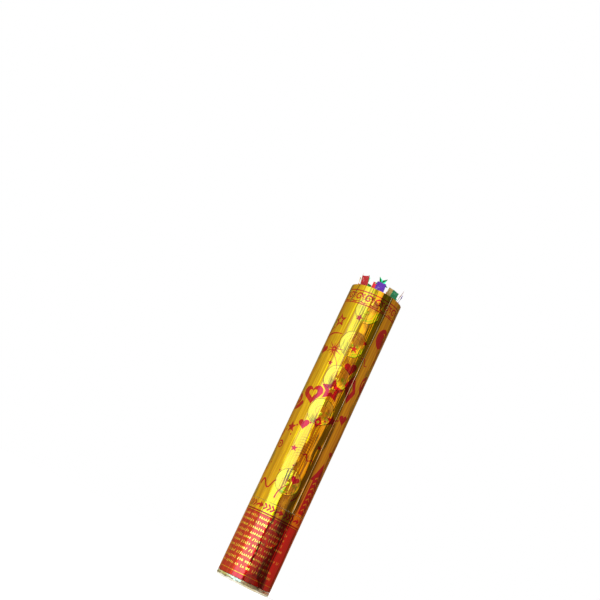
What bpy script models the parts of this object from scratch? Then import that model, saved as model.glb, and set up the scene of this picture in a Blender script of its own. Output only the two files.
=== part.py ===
"""A twist-fired confetti popper with its compressed-air bottle, release valve and paper load.

Metres, +Z up. The origin is the middle of the flat base, and the tube's axis is +Z.
"""

import math
import random

import bmesh
import bpy
from mathutils import Matrix, Vector

for old in list(bpy.data.objects):
    bpy.data.objects.remove(old, do_unlink=True)

mm = 0.001

# Clearances
gap = 0.3 * mm
key_clearance = 0.4 * mm

# Casing: two board tubes in a printed foil wrap
body_height = 280.0 * mm
casing_radius = 24.4 * mm
wrap_thickness = 0.35 * mm
tube_wall = 1.6 * mm
joint_height = 71.5 * mm
washer_thickness = 0.6 * mm
tube_radius = casing_radius - wrap_thickness - gap
tube_bore = tube_radius - tube_wall
liner_radius = tube_bore - gap

# Base: silver foil rim folded under a pressed cap
rim_height = 4.1 * mm
rim_round = 1.6 * mm
rim_fold_width = 9.9 * mm
cap_floor = 1.7 * mm
cap_plug_height = 8.2 * mm
cap_plug_wall = 2.0 * mm
cap_recess_radius = 13.0 * mm

# Air bottle
bottle_bottom = rim_height + gap
bottle_radius = liner_radius - cap_plug_wall - gap
bottle_wall = 1.3 * mm
bottle_heel_round = 3.0 * mm
shoulder_drop = 27.1 * mm
shoulder_height = 11.0 * mm
neck_radius = 8.0 * mm
neck_wall = 2.0 * mm
neck_height = 18.6 * mm
shoulder_bottom = joint_height - shoulder_drop
neck_bottom = shoulder_bottom + shoulder_height
neck_top = neck_bottom + neck_height
mouth_radius = neck_radius - neck_wall

# Release thread: ribs on the bottle's neck hold the carrier's lugs down
twist_angle = math.radians(90.0)
thread_starts = 3
thread_lead = 24.0 * mm
rib_depth = 1.6 * mm
rib_height = 1.6 * mm
rib_sweep = math.radians(100.0)
rib_rise_start = 4.5 * mm
lug_height = 1.6 * mm
lug_sweep = math.radians(36.0)
lug_lead_in = math.radians(2.0)
valve_lift = thread_lead * twist_angle / math.tau

# Release carrier
carrier_wall = 2.7 * mm
carrier_skirt_drop = 2.0 * mm
carrier_skirt_height = 13.6 * mm
carrier_bore = neck_radius + rib_depth + gap
carrier_radius = carrier_bore + carrier_wall
window_height = 6.5 * mm
bridge_thickness = 3.0 * mm
post_width = 4.0 * mm
ear_width = 4.0 * mm
vent_radius = 2.4 * mm
carrier_bottom = neck_bottom + carrier_skirt_drop
skirt_top = carrier_bottom + carrier_skirt_height
bridge_bottom = skirt_top + window_height
bridge_top = bridge_bottom + bridge_thickness

# Stopper, its seal and its screw
stopper_length = 4.6 * mm
stopper_flange_height = 1.2 * mm
stopper_radius = mouth_radius - gap
seal_cord = 1.4 * mm
seal_groove_depth = 1.2 * mm
screw_radius = 1.4 * mm
screw_head_radius = 3.2 * mm
screw_head_height = 1.8 * mm
screw_depth = 5.0 * mm

# Sleeve, lock ring and key ring at the twist joint
sleeve_wall = 2.2 * mm
sleeve_groove_depth = 1.4 * mm
sleeve_lip = 3.7 * mm
lock_ring_height = 4.0 * mm
lock_ring_drop = 11.5 * mm
sleeve_bore = liner_radius - sleeve_wall
key_ring_margin = 1.5 * mm
key_bore_clearance = 1.0 * mm
key_wall = 2.6 * mm
key_slot_end = sleeve_bore - gap - key_wall
ear_end = key_slot_end - key_clearance
key_ring_bottom = bridge_bottom - key_ring_margin
key_ring_top = bridge_top + valve_lift + key_ring_margin
screw_headroom = 4.0 * mm
sleeve_top = key_ring_top + screw_headroom

# Bulkhead and pusher
bulkhead_thickness = 3.0 * mm
bulkhead_hole_radius = 9.0 * mm
pusher_card_thickness = 3.0 * mm
pusher_felt_thickness = 8.0 * mm
bulkhead_bottom = sleeve_top + gap
pusher_bottom = bulkhead_bottom + bulkhead_thickness + gap
felt_bottom = pusher_bottom + pusher_card_thickness + gap
load_bottom = felt_bottom + pusher_felt_thickness + gap

# Fill valve in the middle of the base
valve_stem_bottom = 1.0 * mm
valve_body_radius = 3.9 * mm
valve_flange_radius = 6.5 * mm
valve_flange_thickness = 1.5 * mm
valve_nut_radius = 7.0 * mm
valve_nut_thickness = 1.1 * mm
valve_body_height = 12.0 * mm
valve_bore_radius = 2.9 * mm
valve_throat_radius = 1.5 * mm
valve_seal_thickness = 1.0 * mm
valve_seal_hole = 1.45 * mm
pin_radius = 1.1 * mm
pin_disc_thickness = 1.0 * mm
pin_travel = 1.5 * mm
tail_clearance = 1.6 * mm
spring_wire = 0.5 * mm
spring_turns = 5
coil_points_per_turn = 10
clip_thickness = 0.8 * mm
clip_inset = 2.0 * mm
valve_seat = bottle_bottom + bottle_wall + gap
pin_disc_bottom = valve_seat + gap + valve_seal_thickness + gap
pin_disc_top = pin_disc_bottom + pin_disc_thickness
clip_bottom = valve_seat + valve_body_height - clip_inset - clip_thickness
spring_length = clip_bottom - pin_disc_top - 2 * gap - spring_wire
pin_tail = clip_bottom - pin_disc_top - gap - pin_travel - tail_clearance

# Paper load
bed_recess = 5.0 * mm
slip_width = 8.7 * mm
slip_length = 19.5 * mm
slip_thickness = 0.4 * mm
slip_bow = 1.3 * mm
slip_sunk = 6.0 * mm
slip_lift = 3.0 * mm
star_radius = 6.0 * mm
star_waist = 0.42
streamer_width = 4.5 * mm
streamer_radius = 3.3 * mm
streamer_pitch = 7.4 * mm
streamer_turns = 2.5
foot_inset = 5.6 * mm
ring_step = 6.6 * mm
bed_top = body_height - bed_recess
outer_ring_radius = tube_bore - foot_inset
middle_ring_radius = outer_ring_radius - ring_step
outer_ring_count = 8
middle_ring_count = 5
outer_lean = (9, 17)
middle_lean = (3, 8)
side_lean = 7

casing_sides = 64
inner_sides = 40
small_sides = 24


def material(name, colour, roughness=0.5, metallic=0.0):
    """A plain Principled material in the piece's own colour."""
    made = bpy.data.materials.new(name)
    made.use_nodes = True
    shader = made.node_tree.nodes["Principled BSDF"]
    shader.inputs["Base Color"].default_value = (*colour, 1.0)
    shader.inputs["Roughness"].default_value = roughness
    shader.inputs["Metallic"].default_value = metallic
    return made


def add_object(name, bm, look, smooth=True):
    """Put a finished bmesh in the scene as one named piece."""
    mesh = bpy.data.meshes.new(name)
    bmesh.ops.recalc_face_normals(bm, faces=bm.faces)
    bm.to_mesh(mesh)
    bm.free()
    if smooth:
        mesh.shade_smooth()
        mesh.set_sharp_from_angle(angle=math.radians(35))
    piece = bpy.data.objects.new(name, mesh)
    bpy.context.collection.objects.link(piece)
    if look:
        mesh.materials.append(look)
    return piece


def arc(centre, radius, start, end, steps=3):
    """Points (r, z) on a round of an outline, angles in degrees."""
    points = []
    for step in range(steps + 1):
        angle = math.radians(start + (end - start) * step / steps)
        points.append((centre[0] + radius * math.cos(angle), centre[1] + radius * math.sin(angle)))
    return points


def turned_mesh(outline, sides, closed=True):
    """Spin an (r, z) outline about the axis."""
    bm = bmesh.new()
    verts = [bm.verts.new((r, 0.0, z)) for r, z in outline]
    edges = [bm.edges.new(pair) for pair in zip(verts, verts[1:])]
    if closed:
        edges.append(bm.edges.new((verts[-1], verts[0])))
    bmesh.ops.spin(
        bm,
        geom=verts + edges,
        cent=(0, 0, 0),
        axis=(0, 0, 1),
        angle=math.tau,
        steps=sides,
        use_merge=True,
    )
    bmesh.ops.remove_doubles(bm, verts=bm.verts, dist=1e-7)
    return bm


def turned(name, outline, look, sides=inner_sides, closed=True):
    """A turned piece. An outline that starts and ends on the axis isn't closed."""
    return add_object(name, turned_mesh(outline, sides, closed), look)


def ring(name, bore, radius, bottom, top, look, sides=inner_sides):
    """A plain ring or tube."""
    outline = [(bore, bottom), (radius, bottom), (radius, top), (bore, top)]
    return turned(name, outline, look, sides)


def disc(name, radius, bottom, top, look, sides=inner_sides):
    """A plain round disc."""
    return turned(name, [(0, bottom), (radius, bottom), (radius, top), (0, top)], look, sides, False)


def block(name, low, high, look=None):
    """A box between two corners."""
    bm = bmesh.new()
    bmesh.ops.create_cube(bm, size=1.0)
    for vert in bm.verts:
        for axis in range(3):
            middle = (low[axis] + high[axis]) / 2
            vert.co[axis] = middle + vert.co[axis] * (high[axis] - low[axis])
    return add_object(name, bm, look, smooth=False)


def helical_band(name, bore, radius, bottom, height, start, sweep, steps=14):
    """A rib of square section that climbs about the axis at the thread's lead."""
    bm = bmesh.new()
    sections = []
    for step in range(steps + 1):
        turn = sweep * step / steps
        rise = thread_lead * turn / math.tau
        direction = Vector((math.cos(start + turn), math.sin(start + turn), 0))
        corners = ((bore, 0), (radius, 0), (radius, height), (bore, height))
        section = [bm.verts.new(direction * r + Vector((0, 0, bottom + rise + z))) for r, z in corners]
        sections.append(section)
    for near, far in zip(sections, sections[1:]):
        for corner in range(4):
            after = (corner + 1) % 4
            bm.faces.new((near[corner], near[after], far[after], far[corner]))
    bm.faces.new(sections[0])
    bm.faces.new(sections[-1])
    return add_object(name, bm, None, smooth=False)


def turn_about_axis(piece, angle):
    """Turn a helper shape about +Z and keep the turn in its mesh."""
    piece.data.transform(Matrix.Rotation(angle, 4, "Z"))


def combine(piece, other, operation):
    """Cut, or join, a helper shape with an exact Boolean. The helper isn't rendered."""
    other.hide_render = True
    other.display_type = "WIRE"
    modifier = piece.modifiers.new(other.name, "BOOLEAN")
    modifier.operation = operation
    modifier.solver = "EXACT"
    modifier.object = other


silver_foil = material("silver_foil", (0.82, 0.81, 0.76), 0.3, 0.9)
gold_foil = material("gold_foil", (0.83, 0.55, 0.05), 0.25, 0.9)
red_foil = material("red_foil", (0.62, 0.03, 0.03), 0.3, 0.8)
grey_board = material("grey_board", (0.55, 0.47, 0.38), 0.9)
white_board = material("white_board", (0.78, 0.76, 0.70), 0.85)
bottle_plastic = material("bottle_plastic", (0.80, 0.84, 0.86), 0.35)
natural_nylon = material("natural_nylon", (0.83, 0.80, 0.70), 0.45)
black_rubber = material("black_rubber", (0.03, 0.03, 0.03), 0.6)
brass = material("brass", (0.75, 0.55, 0.22), 0.3, 1.0)
steel = material("steel", (0.62, 0.63, 0.65), 0.35, 1.0)
waxed_paper = material("waxed_paper", (0.86, 0.83, 0.74), 0.5)
wool_felt = material("wool_felt", (0.62, 0.62, 0.60), 0.95)
load_paper = material("load_paper", (0.72, 0.42, 0.40), 0.85)


# Base
def make_rim_foil():
    """Silver foil rolled round the lower edge and folded under the cap."""
    inner = casing_radius - wrap_thickness
    fold = casing_radius - rim_fold_width
    round_centre = (casing_radius - rim_round, rim_round)
    outline = [(fold, 0)]
    outline += arc(round_centre, rim_round, -90, 0)
    outline += [(casing_radius, rim_height), (inner, rim_height)]
    outline += arc(round_centre, rim_round - wrap_thickness, 0, -90)
    outline += [(fold, wrap_thickness)]
    turned("rim_foil", outline, silver_foil, casing_sides)


def make_base_cap():
    """Pressed board cap that closes the tube, with a well for the fill valve."""
    under = wrap_thickness + gap
    edge_round = rim_round - wrap_thickness - gap
    round_centre = (casing_radius - rim_round, rim_round)
    well_top = rim_height - cap_floor
    hole = valve_body_radius + gap
    outline = [(hole, well_top), (cap_recess_radius, well_top), (cap_recess_radius, under)]
    outline += arc(round_centre, edge_round, -90, 0)
    outline += [
        (tube_radius, rim_height),
        (liner_radius, rim_height),
        (liner_radius, rim_height + cap_plug_height),
        (liner_radius - cap_plug_wall, rim_height + cap_plug_height),
        (liner_radius - cap_plug_wall, rim_height),
        (hole, rim_height),
    ]
    turned("base_cap", outline, white_board)


def make_base_tube():
    """The lower board tube, its printed wrap and the waxed washer on its end."""
    washer_bottom = joint_height - washer_thickness / 2
    washer_top = washer_bottom + washer_thickness
    foot = rim_height + gap
    wrap_top = joint_height - gap / 2
    inner = casing_radius - wrap_thickness
    ring("base_tube", tube_bore, tube_radius, foot, washer_bottom - gap, grey_board, casing_sides)
    ring("base_wrap", inner, casing_radius, foot, wrap_top, red_foil, casing_sides)
    ring("slip_washer", tube_bore, tube_radius, washer_bottom, washer_top, waxed_paper, casing_sides)


def make_lock_ring():
    """Ring glued in the base tube. It runs in the sleeve's groove and holds the tubes together."""
    bottom = joint_height - lock_ring_drop - lock_ring_height
    bore = liner_radius - sleeve_groove_depth + gap
    ring("lock_ring", bore, liner_radius, bottom, bottom + lock_ring_height, natural_nylon)


def make_bottle():
    """Blow-moulded air bottle with three thread ribs round its neck."""
    inner = bottle_radius - bottle_wall
    hole = valve_body_radius + gap
    floor = bottle_bottom + bottle_wall
    heel = (bottle_radius - bottle_heel_round, bottle_bottom + bottle_heel_round)
    outline = [(hole, bottle_bottom)]
    outline += arc(heel, bottle_heel_round, -90, 0)
    outline += [
        (bottle_radius, shoulder_bottom),
        (neck_radius, neck_bottom),
        (neck_radius, neck_top),
        (mouth_radius, neck_top),
        (mouth_radius, neck_bottom),
        (inner, shoulder_bottom),
    ]
    outline += arc(heel, bottle_heel_round - bottle_wall, 0, -90)
    outline += [(hole, floor)]
    bottle = turned("air_bottle", outline, bottle_plastic)
    for start in range(thread_starts):
        rib = helical_band(
            f"neck_rib_{start + 1}",
            neck_radius - neck_wall / 2,
            neck_radius + rib_depth,
            neck_bottom + rib_rise_start,
            rib_height,
            math.tau * start / thread_starts,
            rib_sweep,
        )
        combine(bottle, rib, "UNION")
    collar_bottom = rim_height + cap_plug_height + gap
    collar_bore = bottle_radius + gap
    ring("bottle_collar", collar_bore, liner_radius, collar_bottom, shoulder_bottom, grey_board)


def make_fill_valve():
    """Check valve through the cap and the bottle's floor: body, nut, seal, pin, spring and clip."""
    flange_top = valve_seat + valve_flange_thickness
    body_top = valve_seat + valve_body_height
    outline = [
        (valve_throat_radius, valve_stem_bottom),
        (valve_body_radius, valve_stem_bottom),
        (valve_body_radius, valve_seat),
        (valve_flange_radius, valve_seat),
        (valve_flange_radius, flange_top),
        (valve_body_radius, flange_top),
        (valve_body_radius, body_top),
        (valve_bore_radius, body_top),
        (valve_bore_radius, valve_seat),
        (valve_throat_radius, valve_seat),
    ]
    turned("fill_valve_body", outline, brass, small_sides)

    nut_top = rim_height - cap_floor - gap
    nut_bottom = nut_top - valve_nut_thickness
    nut = disc("fill_valve_nut", valve_nut_radius, nut_bottom, nut_top, brass, 6)
    nut_hole = disc(
        "nut_hole", valve_body_radius + gap, nut_bottom - mm, nut_top + mm, None, small_sides
    )
    combine(nut, nut_hole, "DIFFERENCE")

    seal_bottom = valve_seat + gap
    seal_top = seal_bottom + valve_seal_thickness
    seal_radius = valve_bore_radius - gap
    ring("fill_valve_seal", valve_seal_hole, seal_radius, seal_bottom, seal_top, black_rubber, small_sides)

    stem_end = valve_stem_bottom + gap
    outline = [
        (0, stem_end),
        (pin_radius, stem_end),
        (pin_radius, pin_disc_bottom),
        (seal_radius, pin_disc_bottom),
        (seal_radius, pin_disc_top),
        (pin_radius, pin_disc_top),
        (pin_radius, pin_disc_top + pin_tail),
        (0, pin_disc_top + pin_tail),
    ]
    turned("fill_valve_pin", outline, brass, small_sides, False)

    coil_radius = (pin_radius + valve_bore_radius) / 2
    coil_bottom = pin_disc_top + gap + spring_wire / 2
    curve = bpy.data.curves.new("fill_valve_spring", "CURVE")
    curve.dimensions = "3D"
    curve.bevel_depth = spring_wire / 2
    curve.bevel_resolution = 1
    curve.use_fill_caps = True
    spline = curve.splines.new("POLY")
    coil_points = spring_turns * coil_points_per_turn
    spline.points.add(coil_points)
    for index in range(coil_points + 1):
        turn = math.tau * spring_turns * index / coil_points
        z = coil_bottom + spring_length * index / coil_points
        x = coil_radius * math.cos(turn)
        y = coil_radius * math.sin(turn)
        spline.points[index].co = (x, y, z, 1)
    curve.materials.append(steel)
    spring = bpy.data.objects.new("fill_valve_spring", curve)
    bpy.context.collection.objects.link(spring)

    clip_hole = pin_radius + gap
    ring(
        "fill_valve_clip",
        clip_hole,
        seal_radius,
        clip_bottom,
        clip_bottom + clip_thickness,
        steel,
        small_sides,
    )


# Barrel
def make_barrel():
    """The upper board tube and its printed wrap, whose edge is folded over the muzzle."""
    tube_bottom = joint_height + washer_thickness / 2 + gap
    tube_top = body_height - wrap_thickness - gap
    ring("barrel_tube", tube_bore, tube_radius, tube_bottom, tube_top, grey_board, casing_sides)
    inner = casing_radius - wrap_thickness
    fold_bottom = body_height - wrap_thickness
    outline = [
        (inner, joint_height + gap / 2),
        (casing_radius, joint_height + gap / 2),
        (casing_radius, body_height),
        (tube_bore, body_height),
        (tube_bore, fold_bottom),
        (inner, fold_bottom),
    ]
    turned("barrel_wrap", outline, gold_foil, casing_sides)


def make_sleeve():
    """Board sleeve glued in the barrel. Its groove turns on the base tube's lock ring."""
    groove_bottom = joint_height - lock_ring_drop - lock_ring_height - gap
    groove_top = joint_height - lock_ring_drop + gap
    groove_radius = liner_radius - sleeve_groove_depth
    outline = [
        (sleeve_bore, groove_bottom - sleeve_lip),
        (liner_radius, groove_bottom - sleeve_lip),
        (liner_radius, groove_bottom),
        (groove_radius, groove_bottom),
        (groove_radius, groove_top),
        (liner_radius, groove_top),
        (liner_radius, sleeve_top),
        (sleeve_bore, sleeve_top),
    ]
    turned("coupler_sleeve", outline, white_board)


def make_key_ring():
    """Ring glued in the sleeve. Its three slots turn the carrier and let it rise."""
    bore = carrier_radius + key_bore_clearance
    key_ring = ring(
        "key_ring", bore, sleeve_bore - gap, key_ring_bottom, key_ring_top, natural_nylon
    )
    slot_half = ear_width / 2 + key_clearance
    for key in range(thread_starts):
        slot = block(
            f"key_slot_{key + 1}",
            (bore - key_bore_clearance, -slot_half, key_ring_bottom - mm),
            (key_slot_end, slot_half, key_ring_top + mm),
        )
        turn_about_axis(slot, math.tau * key / thread_starts)
        combine(key_ring, slot, "DIFFERENCE")


def make_carrier():
    """Screw carrier: a skirt with lugs under the neck's ribs, posts, a vented bridge and ears."""
    outline = [
        (carrier_bore, carrier_bottom),
        (carrier_radius, carrier_bottom),
        (carrier_radius, skirt_top),
        (carrier_bore, skirt_top),
    ]
    carrier = turned("release_carrier", outline, natural_nylon)
    bite = 0.4 * mm
    bridge = disc("carrier_bridge", carrier_radius, bridge_bottom, bridge_top, None)
    posts = []
    ears = []
    for start in range(thread_starts):
        angle = math.tau * start / thread_starts
        lug = helical_band(
            f"carrier_lug_{start + 1}",
            neck_radius + gap,
            carrier_bore + bite,
            neck_bottom + rib_rise_start - gap - lug_height + thread_lead * lug_lead_in / math.tau,
            lug_height,
            angle + lug_lead_in,
            lug_sweep,
            6,
        )
        post = block(
            f"carrier_post_{start + 1}",
            (carrier_bore + bite, -post_width / 2, skirt_top - bite),
            (carrier_radius - bite, post_width / 2, bridge_bottom + bite),
        )
        ear = block(
            f"carrier_ear_{start + 1}",
            (carrier_radius - 2 * bite, -ear_width / 2, bridge_bottom + bite),
            (ear_end, ear_width / 2, bridge_top - bite),
        )
        turn_about_axis(post, angle)
        turn_about_axis(ear, angle)
        combine(carrier, lug, "UNION")
        posts.append(post)
        ears.append(ear)
    for shape in posts + [bridge] + ears:
        combine(carrier, shape, "UNION")
    vent_ring = (carrier_radius + screw_head_radius) / 2
    for start in range(thread_starts):
        vent = disc(
            f"carrier_vent_{start + 1}",
            vent_radius,
            bridge_bottom - mm,
            bridge_top + mm,
            None,
            small_sides,
        )
        vent.data.transform(Matrix.Translation((vent_ring, 0, 0)))
        turn_about_axis(vent, math.tau * (start + 0.5) / thread_starts)
        combine(carrier, vent, "DIFFERENCE")
    screw_hole = disc(
        "carrier_screw_hole",
        screw_radius + gap,
        bridge_bottom - mm,
        bridge_top + mm,
        None,
        small_sides,
    )
    combine(carrier, screw_hole, "DIFFERENCE")


def make_stopper():
    """Stopper screwed under the bridge, with an O-ring seal in the bottle's mouth."""
    shoulder = neck_top + gap
    top = bridge_bottom - gap
    bottom = neck_top - stopper_length
    groove_radius = stopper_radius - seal_groove_depth
    seal_middle = bottom + stopper_length / 2
    groove_half = seal_cord / 2 + gap
    pilot = screw_radius + gap
    head_under = bridge_top + gap
    pilot_bottom = head_under - screw_depth - bridge_thickness - gap
    outline = [
        (0, bottom),
        (stopper_radius, bottom),
        (stopper_radius, seal_middle - groove_half),
        (groove_radius, seal_middle - groove_half),
        (groove_radius, seal_middle + groove_half),
        (stopper_radius, seal_middle + groove_half),
        (stopper_radius, shoulder),
        (neck_radius, shoulder),
        (neck_radius, shoulder + stopper_flange_height),
        (stopper_radius, shoulder + stopper_flange_height),
        (stopper_radius, top),
        (pilot, top),
        (pilot, pilot_bottom),
        (0, pilot_bottom),
    ]
    turned("valve_stopper", outline, natural_nylon, inner_sides, False)

    seal_centre = (groove_radius + gap / 2 + seal_cord / 2, seal_middle)
    outline = arc(seal_centre, seal_cord / 2 - gap / 2, 0, 360, 8)[:-1]
    turned("stopper_seal", outline, black_rubber)

    outline = [
        (0, pilot_bottom + gap),
        (screw_radius, pilot_bottom + gap),
        (screw_radius, head_under),
        (screw_head_radius, head_under),
        (screw_head_radius, head_under + screw_head_height),
        (0, head_under + screw_head_height),
    ]
    turned("stopper_screw", outline, steel, small_sides, False)


def make_bulkhead():
    """Board disc on the sleeve's end. The air rushes through its hole."""
    top = bulkhead_bottom + bulkhead_thickness
    ring("bulkhead", bulkhead_hole_radius, liner_radius, bulkhead_bottom, top, grey_board)


# Load
def make_pusher():
    """Card disc and felt wad that drive the paper out."""
    disc("pusher_card", liner_radius, pusher_bottom, pusher_bottom + pusher_card_thickness, grey_board)
    disc("pusher_felt", liner_radius, felt_bottom, felt_bottom + pusher_felt_thickness, wool_felt)


slip_colours = {
    "purple": (0.16, 0.05, 0.50),
    "green": (0.00, 0.35, 0.12),
    "magenta": (0.72, 0.00, 0.25),
    "red": (0.70, 0.02, 0.02),
    "cream": (0.88, 0.66, 0.30),
    "crimson": (0.33, 0.00, 0.01),
}
foil_colours = {
    "red": (0.75, 0.05, 0.04),
    "blue": (0.02, 0.12, 0.60),
    "gold": (0.90, 0.66, 0.08),
    "green": (0.02, 0.45, 0.14),
}


def slip_mesh(grow=0.0, steps=6):
    """A tissue slip that stands on its short end and bows along its length."""
    bm = bmesh.new()
    sections = []
    for step in range(steps + 1):
        share = step / steps
        z = -grow + (slip_length + 2 * grow) * share
        bow = slip_bow * math.sin(math.pi * share)
        half = slip_width / 2 + grow
        front = bow - slip_thickness / 2 - grow
        back = bow + slip_thickness / 2 + grow
        corners = ((-half, front), (half, front), (half, back), (-half, back))
        sections.append([bm.verts.new((x, y, z)) for x, y in corners])
    for near, far in zip(sections, sections[1:]):
        for corner in range(4):
            after = (corner + 1) % 4
            bm.faces.new((near[corner], near[after], far[after], far[corner]))
    bm.faces.new(sections[0])
    bm.faces.new(sections[-1])
    return bm


def star_mesh():
    """A five-pointed foil star."""
    bm = bmesh.new()
    verts = []
    for corner in range(10):
        reach = star_radius if corner % 2 == 0 else star_radius * star_waist
        angle = -math.pi / 2 + math.tau * corner / 10
        x = reach * math.cos(angle)
        z = star_radius + reach * math.sin(angle)
        verts.append(bm.verts.new((x, -slip_thickness / 2, z)))
    face = bm.faces.new(verts)
    grown = bmesh.ops.extrude_face_region(bm, geom=[face])
    moved = [item for item in grown["geom"] if isinstance(item, bmesh.types.BMVert)]
    bmesh.ops.translate(bm, verts=moved, vec=(0, slip_thickness, 0))
    return bm


def streamer_mesh(grow=0.0, steps_per_turn=12):
    """A curled foil ribbon that stands in the load."""
    bm = bmesh.new()
    steps = int(streamer_turns * steps_per_turn)
    half = slip_thickness / 2 + grow
    sections = []
    for step in range(steps + 1):
        turn = math.tau * step / steps_per_turn
        rise = streamer_pitch * turn / math.tau
        direction = Vector((math.cos(turn), math.sin(turn), 0))
        inner = streamer_radius - half
        outer = streamer_radius + half
        low = rise - grow
        high = rise + streamer_width + grow
        corners = ((inner, low), (outer, low), (outer, high), (inner, high))
        sections.append([bm.verts.new(direction * r + Vector((0, 0, z))) for r, z in corners])
    for near, far in zip(sections, sections[1:]):
        for corner in range(4):
            after = (corner + 1) % 4
            bm.faces.new((near[corner], near[after], far[after], far[corner]))
    bm.faces.new(sections[0])
    bm.faces.new(sections[-1])
    return bm


def load_place(ring_radius, angle, foot, lean, roll):
    """Where a piece stands: its foot on a ring, its face outward, leaning out and to one side."""
    stand = Matrix.Translation((0, ring_radius, foot))
    lean_out = Matrix.Rotation(-lean, 4, "X")
    lean_aside = Matrix.Rotation(roll, 4, "Y")
    return Matrix.Rotation(angle - math.pi / 2, 4, "Z") @ stand @ lean_out @ lean_aside


def stand_in_bed(bed, name, make_mesh, look, place):
    """Stand a piece in the load, in the slot that it has pushed there."""
    piece = add_object(name, make_mesh(0.0), look, smooth=False)
    slot = add_object(f"{name}_slot", make_mesh(gap), None, smooth=False)
    piece.matrix_world = place
    slot.matrix_world = place
    combine(bed, slot, "DIFFERENCE")


def lay_star(name, look, slip_place):
    """Lay a star on the inner face of a slip, near its top."""
    star = add_object(name, star_mesh(), look, smooth=False)
    on_face = -(slip_thickness + gap)
    star.matrix_world = slip_place @ Matrix.Translation((0, on_face, slip_length - star_radius))


def make_load():
    """The pressed bed of tissue, and the slips, stars and curls that stand out of the muzzle."""
    bed = disc("confetti_bed", liner_radius, load_bottom, bed_top, load_paper)
    slip_looks = {key: material(f"tissue_{key}", slip_colours[key], 0.8) for key in slip_colours}
    foil_looks = {key: material(f"foil_{key}", foil_colours[key], 0.25, 0.9) for key in foil_colours}
    chance = random.Random(11)
    foot = bed_top - slip_sunk
    colours = list(slip_colours)
    foils = list(foil_colours)
    outer_ring = (outer_ring_radius, outer_ring_count, outer_lean)
    middle_ring = (middle_ring_radius, middle_ring_count, middle_lean)
    slip_number = 0
    star_number = 0
    for ring_number, (ring_radius, count, lean_range) in enumerate((outer_ring, middle_ring)):
        for place_number in range(count):
            angle = math.tau * (place_number + ring_number / 2) / count
            lean = math.radians(chance.uniform(*lean_range))
            roll = math.radians(chance.uniform(-side_lean, side_lean))
            place = load_place(ring_radius, angle, foot + chance.uniform(0, slip_lift), lean, roll)
            if ring_number == 1 and place_number in (0, 2):
                foil = ("red", "green")[place_number // 2]
                stand_in_bed(bed, f"streamer_{foil}", streamer_mesh, foil_looks[foil], place)
                continue
            colour = colours[slip_number % len(colours)]
            name = f"slip_{colour}_{slip_number // len(colours) + 1}"
            slip_number += 1
            stand_in_bed(bed, name, slip_mesh, slip_looks[colour], place)
            if ring_number == 0 and place_number % 2 == 0:
                foil = foils[star_number % len(foils)]
                star_number += 1
                lay_star(f"star_{foil}", foil_looks[foil], place)


make_rim_foil()
make_base_cap()
make_base_tube()
make_lock_ring()
make_bottle()
make_fill_valve()
make_barrel()
make_sleeve()
make_key_ring()
make_carrier()
make_stopper()
make_bulkhead()
make_pusher()
make_load()
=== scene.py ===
"""Twist-fired confetti popper: finishes, printed foil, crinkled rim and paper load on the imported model."""

import math
import random

import bmesh
import bpy
import numpy as np
from mathutils import Matrix, Vector, noise
from mathutils.geometry import delaunay_2d_cdt


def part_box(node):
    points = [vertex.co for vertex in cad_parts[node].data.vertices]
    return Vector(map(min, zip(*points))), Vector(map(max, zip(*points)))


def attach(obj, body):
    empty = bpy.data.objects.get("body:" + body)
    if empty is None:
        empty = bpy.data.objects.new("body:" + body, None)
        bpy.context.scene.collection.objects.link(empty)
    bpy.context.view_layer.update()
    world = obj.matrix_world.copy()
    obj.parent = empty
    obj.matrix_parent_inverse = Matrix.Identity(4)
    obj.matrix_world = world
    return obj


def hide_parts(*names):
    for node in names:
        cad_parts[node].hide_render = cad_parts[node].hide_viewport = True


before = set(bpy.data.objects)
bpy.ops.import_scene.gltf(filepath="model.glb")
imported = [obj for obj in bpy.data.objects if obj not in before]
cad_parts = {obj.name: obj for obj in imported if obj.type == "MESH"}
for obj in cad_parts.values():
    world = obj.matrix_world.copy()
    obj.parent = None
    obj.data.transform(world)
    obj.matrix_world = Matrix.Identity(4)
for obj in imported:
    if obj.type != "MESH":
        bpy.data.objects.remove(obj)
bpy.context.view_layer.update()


# Board pieces of the base and the barrel
# Two spiral-wound grey board tubes carry everything. The cap under the base is pressed white board,
# and collar, sleeve, bulkhead and pusher disc are cut from board and glued or pushed into the tubes.
mm = 0.001


class Reading:
    """A number or colour that a shader works out at each point. Numbers are reckoned with like plain ones."""

    def __init__(self, socket):
        self.socket = socket
        self.tree = socket.id_data

    def maths(self, operation, *others):
        """What a Math node makes of it and other numbers."""
        inputs = dict(enumerate((self, *others)))
        return Reading(add_node(self.tree, "ShaderNodeMath", inputs, operation=operation).outputs[0])

    def __add__(self, other):
        return self.maths("ADD", other)

    def __sub__(self, other):
        return self.maths("SUBTRACT", other)

    def __mul__(self, other):
        return self.maths("MULTIPLY", other)

    def __truediv__(self, other):
        return self.maths("DIVIDE", other)

    def squared(self):
        """Its square."""
        return self.maths("POWER", 2.0)

    def rest(self):
        """What is left of one."""
        return self * -1.0 + 1.0

    def carried(self, low, high, start=0.0, end=1.0, style="LINEAR"):
        """It, carried from the range low to high to the range start to end."""
        inputs = {"Value": self, "From Min": low, "From Max": high, "To Min": start, "To Max": end}
        node = add_node(self.tree, "ShaderNodeMapRange", inputs, interpolation_type=style)
        return Reading(node.outputs["Result"])


def feed(socket, value):
    """Set a shader's input to a plain value, or link it."""
    source = value.socket if isinstance(value, Reading) else value
    if isinstance(source, bpy.types.NodeSocket):
        socket.id_data.links.new(source, socket)
    else:
        socket.default_value = value


def add_node(tree, kind, inputs=None, **settings):
    """A shader node with its settings, and its inputs set to a value or linked."""
    made = tree.nodes.new(kind)
    for key, value in settings.items():
        setattr(made, key, value)
    for name, value in (inputs or {}).items():
        feed(made.inputs[name], value)
    return made


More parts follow.
